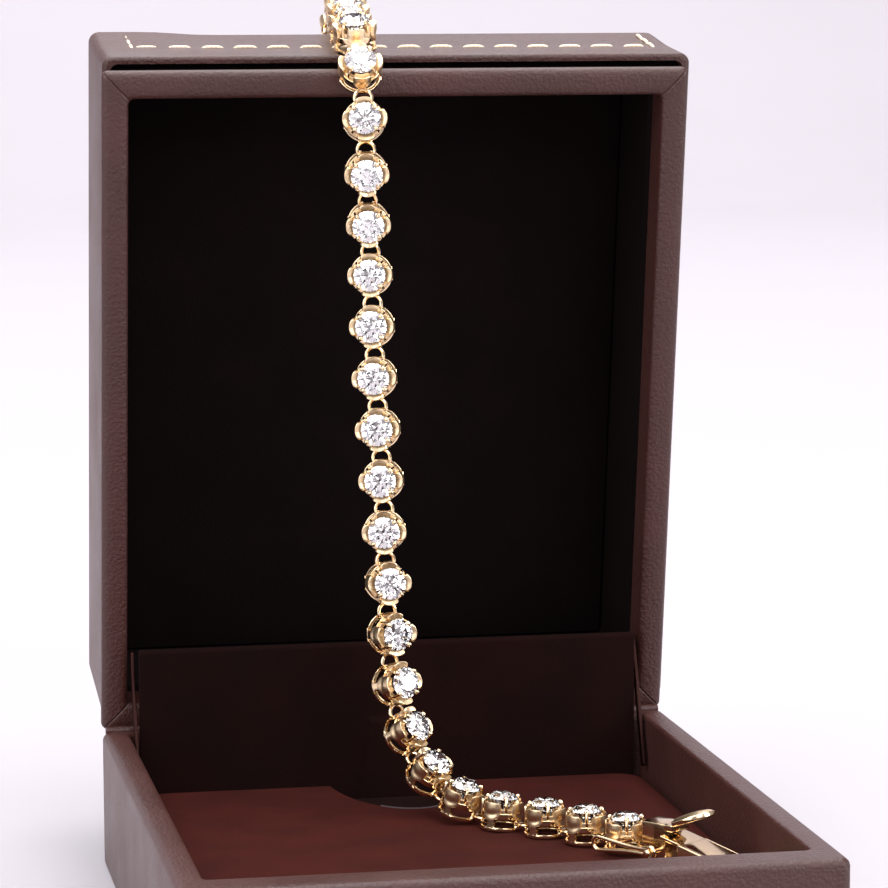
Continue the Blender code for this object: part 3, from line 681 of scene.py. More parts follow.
def connector_shell():
    """The connector: a round wire bent to a circle that starts at the solder joint and reaches along X."""
    turn = np.linspace(0, 2 * pi, 40, endpoint=False)
    path = np.stack([RING_RADIUS + RING_RADIUS * np.cos(turn), RING_RADIUS * np.sin(turn), 0 * turn], -1)
    return tube(path, RING_WIRE, (0, 0, 1), 10, closed=True)


def setting_shells(bracelet):
    shells = [cup_shell(bracelet.dish_depth / MM),
              ring_band(BAND_OUTER - BAND_WALL, BAND_OUTER, BASE_BOTTOM, -WINDOW_TOP),
              ring_band(BAND_OUTER - BAND_WALL - 0.06, BAND_OUTER - 0.12, WINDOW_TOP, 1.0)]
    for quarter in range(4):
        shells.append(post_shell(quarter * pi / 2))
        shells += claw_shells(pi / 4 + quarter * pi / 2, bracelet.claw_radius / MM, bracelet.bead_radius / MM)
    return shells


def brilliant(radius, table_share, crown):
    """A round brilliant of 57 facets over a thin girdle. Table corners, star corners, girdle corners and lower corners
    lie on circles; the star and lower corners' heights put them in the planes of the main facets."""
    eighth = np.arange(8) * pi / 4
    girdle_turn = np.arange(16) * pi / 8
    top, low = GIRDLE_LEVEL + 0.025, GIRDLE_LEVEL - 0.025
    crown_slope = (crown - 0.025) / (radius * (1 - table_share))
    deep = np.tan(radians(40.75))
    star, lower = radius * 0.754, radius * 0.23

    def circle(r, turn, level):
        return np.stack([r * np.cos(turn), r * np.sin(turn), np.full(len(turn), level)], -1)

    points = np.vstack([
        circle(radius * table_share, eighth, GIRDLE_LEVEL + crown),
        circle(star, eighth + pi / 8, top + (radius - star * cos(pi / 8)) * crown_slope),
        circle(radius, girdle_turn, top),
        circle(radius, girdle_turn, low),
        circle(lower, eighth + pi / 8, low - (radius - lower * cos(pi / 8)) * deep),
        [(0, 0, low - radius * deep)],
    ])
    k = np.arange(8)
    following = (k + 1) % 8
    table, stars, upper, under, lowers, culet = k, 8 + k, 16, 32, 48 + k, 56
    main = 2 * k
    half = 2 * k + 1
    next_main = (2 * k + 2) % 16
    g = np.arange(16)
    faces = [
        table[None],
        np.stack([table, stars, table[following]], -1),
        np.stack([table, stars[k - 1], upper + main, stars], -1),
        np.vstack([np.stack([stars, upper + main, upper + half], -1),
                   np.stack([stars, upper + half, upper + next_main], -1)]),
        np.stack([upper + g, upper + (g + 1) % 16, under + (g + 1) % 16, under + g], -1),
        np.stack([np.full(8, culet), lowers[k - 1], under + main, lowers], -1),
        np.vstack([np.stack([lowers, under + main, under + half], -1),
                   np.stack([lowers, under + half, under + next_main], -1)]),
    ]
    return points, faces, [np.zeros(len(f), int) for f in faces]


# ---------------------------------------------------------------- the clasp

def case_points():
    block_end = BLOCK_LENGTH - BAND_WALL / 2
    return block_end, block_end + PIN_RADIUS + PIN_PLAY + KNUCKLE_WALL, CLASP_TOP - PIN_RADIUS


def catch_pivot():
    return (EYE_LENGTH + BLOCK_LENGTH) / 2, -PETAL_ACROSS - CATCH_CLEAR - CATCH_WIRE, CATCH_WIRE


def cross_rod(x, z, low, high, radius, sides=16):
    """A round bar along Y."""
    path = np.array([(x, y, z) for y in np.linspace(low, high, 3)])
    return tube(path, radius, (1, 0, 0), sides)


def clasp_shells():
    """The open case, the block with the eye for the last ring, the ears and pin of the lever, and the catch's stud."""
    block_end, pin_x, pin_z = case_points()
    half_wall, half_block, half_case = BAND_WALL / 2, BLOCK_WIDTH / 2, CLASP_WIDTH / 2
    reach = CLASP_LENGTH - half_wall
    bottom = -CLASP_BELOW
    edge = 0.12
    shells = [rounded_block((block_end - 0.45, -half_case, bottom), (reach, half_case, bottom + CLASP_WALL), 0.5, edge)]
    side = [(WALL_START, bottom + 0.1), (reach, bottom + 0.1), (reach, bottom + CASE_LOW),
            (reach - 0.25, bottom + CASE_LOW + 0.06), (WALL_START + 0.35, bottom + CASE_HIGH),
            (WALL_START, bottom + CASE_HIGH)]
    for low, high in ((-half_case, -half_case + CLASP_WALL), (half_case - CLASP_WALL, half_case)):
        shells.append(turned(plate(side, low, high, edge), [0, 2, 1]))
    shells.append(rounded_block((WALL_START, -half_case + 0.1, bottom + 0.1),
                                (WALL_START + CLASP_WALL, half_case - 0.1, bottom + CASE_HIGH), 0.12, edge))
    start = block_end - CLASP_WALL / 2
    fall = (RAMP_TOP - bottom - CASE_LOW) / (reach - start)
    low = RAMP_TOP - fall * (RAMP_END - start)
    ramp = [(start, RAMP_TOP - RAMP_THICK), (RAMP_END, low - RAMP_THICK), (RAMP_END, low), (start, RAMP_TOP)]
    shells.append(turned(plate(ramp, -half_case + CLASP_WALL / 2, half_case - CLASP_WALL / 2, 0.08), [0, 2, 1]))
    shells.append(rounded_block((-half_wall, -half_block, bottom), (block_end, half_block, -WINDOW_TOP), 0.15, edge))
    shells.append(rounded_block((-half_wall, -half_block, WINDOW_TOP), (block_end, half_block, CLASP_TOP), 0.15, edge))
    shells.append(rounded_block((EYE_LENGTH, -half_block, bottom + 0.2),
                                (block_end, half_block, CLASP_TOP - 0.2), 0.15, edge))
    shells.append(rounded_block((-half_wall, -0.42, -0.6), (half_wall, 0.42, 0.6), 0.12, 0.05))
    ear_low = pin_z - PIN_RADIUS - KNUCKLE_WALL
    for low, high in ((-half_block, -KNUCKLE_WIDTH / 2 - PIN_PLAY), (KNUCKLE_WIDTH / 2 + PIN_PLAY, half_block)):
        shells.append(rounded_block((block_end - CLASP_WALL, low, ear_low),
                                    (pin_x + PIN_RADIUS, high, CLASP_TOP), 0.1, edge))
    shells.append(cross_rod(pin_x, pin_z, -half_block + 0.1, half_block - 0.1, PIN_RADIUS))
    x, y, z = catch_pivot()
    tip = y - CATCH_WIRE - PIN_PLAY - STUD_HEAD / 2
    shells.append(cross_rod(x, z, tip, -half_block + 0.2, PIN_RADIUS))
    head = tip - PIN_PLAY
    rise = np.linspace(0.05, pi - 0.05, 9)
    turn = np.linspace(0, 2 * pi, 18, endpoint=False)
    ring = STUD_HEAD * np.sqrt(np.sin(rise))[:, None]
    points = np.stack([x + ring * np.cos(turn), head - STUD_HEAD / 2 * np.cos(rise)[:, None] + 0 * turn[None],
                       z + ring * np.sin(turn)], -1)
    shells.append(grid_shell(points, capped=True))
    return shells


def lever_shells():
    """The thumb plate with its rounded end, its neck and the knuckle round the pin."""
    knuckle = PIN_RADIUS + PIN_PLAY + KNUCKLE_WALL
    half = LEVER_WIDTH / 2
    start = PIN_RADIUS + PIN_PLAY * 2 + KNUCKLE_WALL
    low, high = knuckle - LEVER_THICK, knuckle
    bend = np.linspace(-pi / 2, pi / 2, 25)
    outline = [(start, half - 0.3), (start, -half + 0.3), (start + 0.3, -half)]
    outline += [(LEVER_LENGTH - half + half * cos(a), half * sin(a)) for a in bend] + [(start + 0.3, half)]
    sides = plate(outline, low, high, 0.14)[0].reshape(-1, len(outline), 3)
    spine = np.array([LEVER_LENGTH / 2 + 0.3, 0, high])
    share = np.linspace(0, 1, 9)[1:-1, None, None]
    dome = spine * share + sides[-1] * (1 - share)
    dome[..., 2] = high + 0.32 * np.sqrt(1 - (1 - share[..., 0]) ** 2)
    top = grid_shell(np.concatenate([sides, dome]), capped=True)
    for finish in (top[2][0][(len(sides) - 1) * len(outline):], top[2][2]):
        finish[:] = 1
    neck = rounded_block((0, -KNUCKLE_WIDTH / 2 + 0.03, low),
                         (start + half, KNUCKLE_WIDTH / 2 - 0.03, high - 0.03), 0.1, 0.08)
    turn = np.linspace(0, 2 * pi, 28, endpoint=False)
    section = [(PIN_RADIUS + PIN_PLAY, -0.5), (knuckle - 0.05, -0.5), (knuckle, -0.46), (knuckle, 0.46),
               (knuckle - 0.05, 0.5), (PIN_RADIUS + PIN_PLAY, 0.5)]
    rows = [np.stack([r * np.cos(turn), np.full(28, y * KNUCKLE_WIDTH), r * np.sin(turn)], -1) for r, y in section]
    return [top, neck, grid_shell(np.stack(rows), wrap_rows=True)]


def catmull_rom(points, steps):
    """A closed smooth curve through the points."""
    a, b, c, d = (np.roll(points, n, 0)[:, None] for n in (1, 0, -1, -2))
    t = np.linspace(0, 1, steps, endpoint=False)[None, :, None]
    curve = 0.5 * (2 * b + (c - a) * t + (2 * a - 5 * b + 4 * c - d) * t ** 2 + (3 * b - a - 3 * c + d) * t ** 3)
    return curve.reshape(-1, points.shape[1])


def catch_shell():
    """The figure-eight wire: a small eye round the stud, a waist, and the long loop."""
    eye = PIN_RADIUS + PIN_PLAY + CATCH_WIRE
    reach = CATCH_LENGTH - eye - CATCH_HEIGHT / 2
    loop = CATCH_HEIGHT / 2 - CATCH_WIRE
    path = [(eye * cos(a), 0, eye * sin(a)) for a in np.linspace(radians(150), radians(-150), 9)]
    path += [(-reach * 0.45, 0, -CATCH_WIRE * 1.3)]
    path += [(-reach - loop * cos(a), 0, loop * sin(a)) for a in np.linspace(radians(-100), radians(100), 8)]
    path += [(-reach * 0.45, 0, CATCH_WIRE * 1.3)]
    return tube(catmull_rom(np.array(path), 5), CATCH_WIRE, (0, 1, 0), 12, closed=True)


# ---------------------------------------------------------------- the box

RIM_ROUND = 0.7
INNER_RIM = 0.4
SPINE_RADIUS = 0.5
SPINE_SHORT = 0.4
MITRE_DEPTH = 0.12
# The lid's top stands a little high at its back left corner, and its front lip flares up
CORNER_RISE = 0.38
LIP_FLARE = 0.42
# The row of stitches: its depth behind the lid's front, its ends, and a thread's radius and rise, in mm
STITCH_DEPTH = 11.4
STITCH_LEFT = -26.1
STITCH_RIGHT = 28.3
THREAD_RADIUS = 0.18
THREAD_RISE = 0.16
# The finger scoop in the pad's back edge: the middle and half sizes of its ellipse, and its floor's level
SCOOP_MIDDLE = (0.3, 31.6)
SCOOP_HALF = (7.0, 14.5)
SCOOP_FLOOR = 6.3
# The tab on the hinge board: its middle, half width and level of its top, and how far it stands proud
TAB_MIDDLE = 0.35
TAB_HALF = 2.5
TAB_TOP = 14.7
TAB_PROUD = 0.28
STRAP_FOOT = 9.0
STRAP_HEAD = 22.0
STRAP_HALF = 0.5
STRAP_THICK = 0.4

HINGE = np.array([0, BOX_DEPTH / 2, BASE_HEIGHT])
LID_UP = np.array([0, -cos(LID_OPEN), sin(LID_OPEN)])
LID_BACK = np.array([0, sin(LID_OPEN), cos(LID_OPEN)])
LID_PLACE = (np.stack([(1, 0, 0), LID_UP, LID_BACK], axis=1), HINGE)


def quarter(radius, start, steps=4):
    """A quarter circle as pairs (inset, rise) from (0, radius) round to (radius, 0), or back."""
    turn = np.linspace(0, pi / 2, steps)
    pairs = [(radius * (1 - cos(t)), radius * (1 - sin(t))) for t in turn]
    return pairs if start == "side" else pairs[::-1]


def tray_shells():
    """The tray: rounded rectangles carried up the outside, over the soft rim and down inside to the floor, and the
    rolled spine of covering that closes the joint to the lid."""
    half, low_y, high_y = BOX_WIDTH / 2, -BOX_DEPTH / 2, BOX_DEPTH / 2

    def outer(inset):
        low, high = (-half + inset, low_y + inset), (half - inset, high_y - inset)
        return rounded_loop(low, high, CORNER_RADIUS - inset * 0.5, 8, 12)

    def inner(inset):
        low = -half + SIDE_WALL - inset, low_y + FRONT_WALL - inset
        high = half - SIDE_WALL + inset, high_y - BACK_WALL + inset
        return rounded_loop(low, high, 0.6 + inset, 8, 12)

    soft = RIM_ROUND
    loops, levels = [outer(0.9)], [0.0]
    for inset, drop in quarter(0.4, "top"):
        loops.append(outer(inset)), levels.append(drop)
    loops.append(outer(0)), levels.append(BASE_HEIGHT * 0.5)
    for inset, drop in quarter(soft, "side"):
        loops.append(outer(inset)), levels.append(BASE_HEIGHT - drop)
    for share in (0.25, 0.5, 0.75):
        mixed = outer(soft) * (1 - share) + inner(INNER_RIM) * share
        loops.append(mixed), levels.append(BASE_HEIGHT - 0.02 + 0.05 * sin(pi * share))
    for inset, drop in quarter(INNER_RIM, "top"):
        loops.append(inner(INNER_RIM - (INNER_RIM - inset) if inset else 0)), levels.append(BASE_HEIGHT - drop)
    loops.append(inner(0)), levels.append(FLOOR_THICK)
    reach = half - SPINE_SHORT
    spine = np.array([(x, high_y - 0.12, BASE_HEIGHT + 0.02) for x in np.linspace(-half + SPINE_SHORT, reach, 12)])
    return [grid_shell(stacked(loops, levels), capped=True), tube(spine, SPINE_RADIUS, (0, 1, 0), 14)]


def frame_shells():
    """The lid's front frame: one rounded section carried round, with a fine groove where the covering is mitred. Its
    back face and the recessed band behind its front slab take the lining's finish; on the band its black is painted
    shade in the gap to the shell.
    """
    half = BOX_WIDTH / 2
    corner = 8
    straight = 12

    def loop(share, out_x, out_y):
        """share 0 is the outer outline and 1 the opening."""
        x = half - SIDE_WALL * share + out_x
        low, high = FRAME_FACE * share - out_y, BOX_DEPTH - FRAME_FACE * share + out_y
        return rounded_loop((-x, low), (x, high), 0.7, corner, straight)

    recess = 0.45
    section = [(recess, FRAME_DEPTH), (recess, 1.6), (0.10, 1.45), (0.0, 1.1), (0, 0.7), (0.02, 0.42), (0.09, 0.16),
               (0.2, 0.03), (0.4, 0.0), (0.6, 0.0), (0.8, 0.03), (0.92, 0.16), (0.98, 0.42), (1, 0.8), (1, 2.4),
               (1, FRAME_DEPTH)]
    rows = [np.column_stack([loop(share, 0, 0), np.full(4 * (corner + straight), depth)]) for share, depth in section]
    points = np.stack(rows)
    step = corner + straight
    mitre = np.arange(4) * step + corner // 2
    points[4:14, mitre, 2] += MITRE_DEPTH
    shell, faces, finishes = grid_shell(points, wrap_rows=True)
    # The band behind the front slab takes the lining velvet as painted black shade in the gap to the shell; the last
    # strip, the back face, takes the lining too
    finishes[0][:2 * 4 * step] = 1
    finishes[0][-4 * step:] = 1
    return [placed((shell, faces, finishes), LID_PLACE)]


def shell_shells():
    """The lid's deep shell: rounded rectangles from its closed back, round the soft edges, to the front lip and down
    inside. The inside faces take the lining's finish, and so does the wall's front face set back behind the lip, where
    its black is painted shade in the gap to the frame."""
    half, over = BOX_WIDTH / 2, SHELL_OVERHANG
    start = FRAME_DEPTH + FIT_GAP

    def outer(inset):
        low = SHELL_ASIDE - half - over + inset, -over + inset
        high = SHELL_ASIDE + half + over - inset, BOX_DEPTH + over - inset
        return rounded_loop(low, high, CORNER_RADIUS + 0.1 - inset * 0.3, 8, 30)

    def inner(inset):
        low = -half + SIDE_WALL - inset, FRAME_FACE - inset
        high = half - SIDE_WALL + inset, BOX_DEPTH - FRAME_FACE + inset
        return rounded_loop(low, high, 0.6 + inset, 8, 30)

    loops, levels = [outer(2.4)], [LID_DEPTH]
    for inset, drop in quarter(0.7, "top", 6):
        loops.append(outer(inset)), levels.append(LID_DEPTH - drop)
    loops.append(outer(0)), levels.append((start + LID_DEPTH) / 2)
    for inset, drop in quarter(0.45, "side", 6):
        loops.append(outer(inset)), levels.append(start + drop)
    loops.append(outer(0.75)), levels.append(start)
    outside = len(loops)
    loops += [outer(0.8), inner(0.5), inner(0), inner(0)]
    levels += [start + 1.6, start + 1.6, start + 1.7, LID_DEPTH - SHELL_BACK]
    stack = stacked(loops, levels)
    raised = CORNER_RISE / (1 + np.exp((stack[..., 0] + 20.5) / 1.2)) * np.clip((stack[..., 1] - 60) / 9, 0, 1)
    stack[..., 1] += raised * np.clip((stack[..., 2] - 8) / 10, 0, 1)
    flare = LIP_FLARE * (1 - np.clip((stack[..., 2] - start) / 7, 0, 1))
    stack[..., 1] += flare * np.clip((stack[..., 1] - 60) / 6, 0, 1)
    points, faces, finishes = grid_shell(stack, capped=True)
    columns = 4 * 38
    # From here on the lining velvet: on the wall's set-back front face as painted black shade in the gap to the frame,
    # then on the lined inside faces
    finishes[0][outside * columns:] = 1
    finishes[2][:] = 1
    return [placed((points, faces, finishes), LID_PLACE)]


def cut_scoop(pad):
    """Cuts the finger scoop out of the pad's back edge: an ellipse carried down to its floor, with a rounded foot."""
    turn = np.linspace(0, 2 * pi, 96, endpoint=False)
    ring = np.stack([np.cos(turn), np.sin(turn)], -1) * SCOOP_HALF
    shares = [0.2, 0.9, 0.96, 0.99, 1.0, 1.0]
    levels = [SCOOP_FLOOR, SCOOP_FLOOR, SCOOP_FLOOR + 0.06, SCOOP_FLOOR + 0.25, SCOOP_FLOOR + 0.6, PAD_TOP + 2]
    sunk = grid_shell(stacked([ring * share + SCOOP_MIDDLE for share in shares], levels), capped=True)
    cutter = make_piece("scoop_cutter", [sunk], [board_velvet()], radians(60))
    step = pad.modifiers.new("scoop", "BOOLEAN")
    step.operation, step.solver, step.object, step.material_mode = "DIFFERENCE", "EXACT", cutter, "TRANSFER"
    bpy.context.view_layer.update()
    cut = bpy.data.meshes.new_from_object(pad.evaluated_get(bpy.context.evaluated_depsgraph_get()))
    pad.modifiers.clear()
    pad.data = cut
    bpy.data.objects.remove(cutter, do_unlink=True)


def scoop_edge_shells(crown):
    """The grey bead along the scoop's lip, a thin flattened bead on the ellipse: partly the cut edge of the pad's
    board, partly a painted highlight along the lip's rounded edge.
    """
    turn = np.linspace(pi + 1.05, 2 * pi - 0.35, 60)
    path = np.stack([SCOOP_MIDDLE[0] + SCOOP_HALF[0] * np.cos(turn), SCOOP_MIDDLE[1] + SCOOP_HALF[1] * np.sin(turn),
                     np.full(60, PAD_TOP + crown * 0.85)], -1)
    return [tube(path, 0.13, (0, 0, 1), 8)]


def grid_over(low_x, high_x, low_y, high_y, columns, rows):
    return np.meshgrid(np.linspace(low_x, high_x, columns), np.linspace(low_y, high_y, rows))


def lining_shells():
    """The lining at the lid's back: a board that swells a little in its middle."""
    inner = BOX_WIDTH / 2 - SIDE_WALL - FIT_GAP
    low, high = FRAME_FACE + FIT_GAP, BOX_DEPTH - FRAME_FACE - FIT_GAP
    back = LID_DEPTH - SHELL_BACK - FIT_GAP
    x, y = grid_over(-inner, inner, low, high, 40, 44)
    across, up = np.abs(x) / inner, np.abs(y - (low + high) / 2) / ((high - low) / 2)
    swell = np.sqrt(np.clip((1 - across ** 16) * (1 - up ** 16), 0, 1))
    front = np.stack([x, y, back - 0.3 - 0.35 * swell], -1)
    return [placed(slab(front, np.stack([x, y, np.full_like(x, back)], -1)), LID_PLACE)]


def cover_shells():
    """The board that hides the hinge, with a flat tab raised on its face."""
    half = BOX_WIDTH / 2 - SIDE_WALL - FIT_GAP - 0.7
    back = BOX_DEPTH / 2 - BACK_WALL - FIT_GAP
    front = back - COVER_THICK
    x, z = grid_over(-half, half, PAD_TOP / 2, COVER_TOP, 300, 100)
    half_tab = TAB_HALF + (14.9 - z) * 0.155
    tab = 1 / (1 + np.exp(-(half_tab - np.abs(x - TAB_MIDDLE)) / 0.1)) / (1 + np.exp(-(TAB_TOP - z) / 0.1))
    edge = np.clip((COVER_TOP - z) / 0.35, 0, 1)
    y = front - TAB_PROUD * tab + 0.35 * (1 - np.sqrt(np.clip(1 - (1 - edge) ** 2, 0, 1)))
    return [slab(np.stack([x, y, z], -1), np.stack([x, np.full_like(x, back), z], -1))]


def pad_shells(crown):
    """The pad: rounded rectangles from its underside up and in over a soft shoulder, its top crowned by
    (1 - the fourth power of the distance out) times crown. cut_scoop takes the finger scoop out of it."""
    side = BOX_WIDTH / 2 - SIDE_WALL - FIT_GAP
    low_y = -BOX_DEPTH / 2 + FRONT_WALL + FIT_GAP
    high_y = BOX_DEPTH / 2 - BACK_WALL - COVER_THICK - 2 * FIT_GAP
    shoulder = 1.3
    insets = [0.6, 0.2, 0.0, 0.0, 0.0, 0.0]
    levels = [1.8, 1.85, 2.2, 4.0, 5.6, PAD_TOP - shoulder]
    for turn in np.linspace(0, pi / 2, 8)[1:]:
        insets.append(shoulder * (1 - cos(turn)))
        levels.append(PAD_TOP - shoulder * (1 - sin(turn)))
    reach = np.linspace(0, 1, 26)[1:]
    insets += list(shoulder + reach * (side - shoulder - 0.4))
    levels += [PAD_TOP] * len(reach)
    loops = [rounded_loop((-side + i, low_y + i), (side - i, high_y - i), max(3.0 - i * 0.4, 0.2), 8, 60)
             for i in insets]
    points = stacked(loops, levels)
    x, y = points[..., 0], points[..., 1]
    middle = (low_y + high_y) / 2
    out = np.maximum(np.abs(x) / side, np.abs(y - middle) / (high_y - middle))
    points[..., 2] += np.where(points[..., 2] > PAD_TOP - 0.5, crown * (1 - out ** 4), 0)
    return [grid_shell(points, capped=True)]


def stitch_shells(pitch):
    """The lid's stitches: short bowed threads in a row along the top and back down each side of it."""
    top = BOX_DEPTH + SHELL_OVERHANG
    depth, left, right = STITCH_DEPTH, STITCH_LEFT, STITCH_RIGHT
    shells = []
    bow = np.linspace(-1, 1, 9)

    def stitch(x, d, dx, dd):
        path = np.stack([x + dx * bow, top - 0.02 + THREAD_RISE * (1 - bow ** 4), d + dd * bow], -1)
        radius = THREAD_RADIUS * np.sqrt(np.maximum(1 - (bow * 0.97) ** 6, 0.05))
        normal = unit(np.array([dd, 0.0, -dx]))
        shells.append(placed(tube(path, radius, normal, 8), LID_PLACE))

    count = int(round((right - left) / pitch))
    for number in range(count):
        wander = 0.12 * sin(number * 2.4)
        x = left + (number + 0.5) * (right - left) / count
        stitch(x, depth + wander * 0.4 - 0.9 * number / count, 1.2 + wander * 0.5, 0.03)
    for x, start in ((left + 0.2, depth - 0.9), (right + 0.3, depth - 1.7)):
        for number in range(3):
            stitch(x, start + 1.3 + number * 2.6, 0.02, 1.25)
    return shells


def strap_shells(side):
    """A sprung steel strap in a back corner: a thin strip with softened edges, leaning from its foot to its head."""
    outer = BOX_WIDTH / 2 - SIDE_WALL - FIT_GAP
    foot = np.array([0, BOX_DEPTH / 2 - BACK_WALL - 3.6, STRAP_FOOT])
    head = HINGE + LID_UP * (STRAP_HEAD - BASE_HEIGHT) + LID_BACK * (FRAME_DEPTH * 0.3)
    along = head - foot
    length = np.linalg.norm(along)
    lean = atan2(-along[1], along[2])
    low_x, high_x = sorted((side * (outer - STRAP_THICK), side * outer))
    strip = rounded_block((low_x, -STRAP_HALF, 0), (high_x, STRAP_HALF, length), 0.12, 0.08)
    axes = np.array([[1, 0, 0], [0, cos(lean), -sin(lean)], [0, sin(lean), cos(lean)]])
    return [placed(strip, (axes, foot))]


# ---------------------------------------------------------------- operators

class Maker:
    bl_options = {"REGISTER", "UNDO"}


class BRACELET_OT_settings(Maker, bpy.types.Operator):
    """Makes the gold of every link: petals, base rail, posts, claws and the soldered connector"""
    bl_idname = "bracelet.settings"
    bl_label = "Make the settings"

    def execute(self, context):
        setting = setting_shells(context.scene.bracelet)
        connector = connector_shell()
        golds = both_golds()
        links, _, _ = lay_chain()
        for number, (place, ring) in enumerate(links, start=1):
            shells = [placed(shell, place) for shell in setting] + [placed(connector, ring)]
            piece = make_piece(f"setting_{number:02d}", shells, golds, radians(22))
            dress(piece, [f"link_{number:02d}"])
        return {"FINISHED"}


class BRACELET_OT_stones(Maker, bpy.types.Operator):
    """Cuts the round brilliant stones"""
    bl_idname = "bracelet.stones"
    bl_label = "Cut the stones"

    def execute(self, context):
        bracelet = context.scene.bracelet
        cut = brilliant(bracelet.stone_radius / MM, bracelet.table_share, bracelet.crown_height / MM)
        clear = cut_stone()
        links, _, _ = lay_chain()
        for number, (place, _) in enumerate(links, start=1):
            dress(make_piece(f"stone_{number:02d}", [placed(cut, place)], [clear]))
        return {"FINISHED"}


class BRACELET_OT_clasp(Maker, bpy.types.Operator):
    """Makes the clasp's case, its lever, the safety catch and the plain tongue"""
    bl_idname = "bracelet.clasp"
    bl_label = "Make the clasp"

    def execute(self, context):
        golds = both_golds()
        _, clasp, (tongue, ring) = lay_chain()
        case = make_piece("clasp_body", [placed(s, clasp) for s in clasp_shells()], golds, radians(35))
        dress(case, ["clasp_case"])
        _, pin_x, pin_z = case_points()
        turn = np.array([[cos(LEVER_RAISED), 0, -sin(LEVER_RAISED)], [0, 1, 0],
                         [sin(LEVER_RAISED), 0, cos(LEVER_RAISED)]])
        hinge = (clasp[0] @ turn, clasp[0] @ np.array([pin_x, 0, pin_z]) + clasp[1])
        lever = make_piece("thumb_lever", [placed(s, hinge) for s in lever_shells()], golds, radians(35))
        dress(lever, ["clasp_lever"], "lever")
        pivot = (clasp[0], clasp[0] @ np.array(catch_pivot()) + clasp[1])
        catch = make_piece("catch_wire", [placed(catch_shell(), pivot)], golds, radians(60))
        dress(catch, ["safety_catch"], "catch")
        plain = rounded_block((-TONGUE_LENGTH, -1.6, -0.45), (RING_BITE, 1.6, 0.45), 0.7, 0.15)
        end = make_piece("tongue_plate", [placed(plain, tongue), placed(connector_shell(), ring)], golds, radians(35))
        dress(end, ["clasp_tongue"])
        return {"FINISHED"}


class BOX_OT_base(Maker, bpy.types.Operator):
    """Makes the tray, the velvet pad, the hinge cover and the hinge straps"""
    bl_idname = "box.base"
    bl_label = "Make the base"

    def execute(self, context):
        dress(make_piece("tray_covered", tray_shells(), [leatherette()], radians(40)), ["box_tray"])
        crown = context.scene.box.pad_crown / MM
        pad = make_piece("velvet_pad", pad_shells(crown), [pad_velvet()], radians(60))
        cut_scoop(pad)
        dress(pad, ["box_pad"])
        # The scoop's grey bead: the board's cut edge, with a painted highlight along the lip
        dress(make_piece("scoop_edge", scoop_edge_shells(crown), [grey_cut_and_highlight()], radians(60)))
        dress(make_piece("hinge_board", cover_shells(), [board_velvet()], radians(60)), ["hinge_cover"])
        steel = sprung_steel()
        for side, label in ((-1, "left"), (1, "right")):
            piece = make_piece(f"strap_{label}", strap_shells(side), [steel], radians(40))
            dress(piece, [f"hinge_strap_{label}"])
        return {"FINISHED"}


class BOX_OT_lid(Maker, bpy.types.Operator):
    """Makes the lid's shell, its frame, the lining and the stitching"""
    bl_idname = "box.lid"
    bl_label = "Make the lid"

    def execute(self, context):
        # The lining velvet is the second finish of the shell and the frame, where it also paints the black shade of the
        # gap between them
        covering, lining = leatherette(), lining_and_gap_shade()
        for name, shells, node in (("shell_covered", shell_shells(), "lid_shell"),
                                   ("frame_covered", frame_shells(), "lid_frame")):
            dress(make_piece(name, shells, [covering, lining], radians(40)), [node])
        dress(make_piece("lining_board", lining_shells(), [lining], radians(60)), ["lid_lining"])
        rows = stitch_shells(context.scene.box.stitch_pitch / MM)
        dress(make_piece("lid_stitching", rows, [waxed_thread()], radians(60)))
        return {"FINISHED"}


# Each light's name, its power as a share of the key, its width, its place and what it is aimed at, in metres
LIGHTS = (
    ("ceiling", 11.0, 1.5, (-0.1, -0.05, 1.2), (0, 0, 0.04)),
    ("key_above_left", 1.6, 0.8, (-0.6, -0.4, 0.35), (0, 0, 0.04)),
    ("front_above", 1.4, 0.5, (0.25, -0.9, 0.55), (0, 0, 0.05)),
    ("fill_right", 1.2, 0.4, (0.65, -0.3, 0.3), (0, 0, 0.04)),
    ("backdrop_wash", 7.0, 1.2, (0.2, 1.1, 1.2), (0.3, 1.5, 0.0)),
)
# The camera: focal length in mm, turn to the right, tilt down and roll, and its place in metres
CAMERA_LENS = 146.0
CAMERA_TURNS = (radians(10.755), radians(7.093), radians(-0.204))
CAMERA_PLACE = (-0.06371, -0.33455, 0.08992)


def placing(axes, middle):
    """The matrix whose columns are axes and whose origin is middle."""
    return Matrix([(*row, place) for row, place in zip(axes, middle)] + [(0, 0, 0, 1)])


def add_light(name, power, size, middle, aim):
    """A square area light whose back is turned away from what it is aimed at."""
    data = bpy.data.lights.new(name, "AREA")
    data.energy, data.size = power, size
    light = bpy.data.objects.new(name, data)
    light.location = middle
    bpy.context.scene.collection.objects.link(light)
    away = np.array(middle, float) - np.array(aim, float)
    z = unit(away)
    x = unit(np.cross((0, 0, 1) if abs(z[2]) < 0.99 else (0, 1, 0), z))
    light.matrix_world = placing(np.stack([x, np.cross(z, x), z], 1), middle)


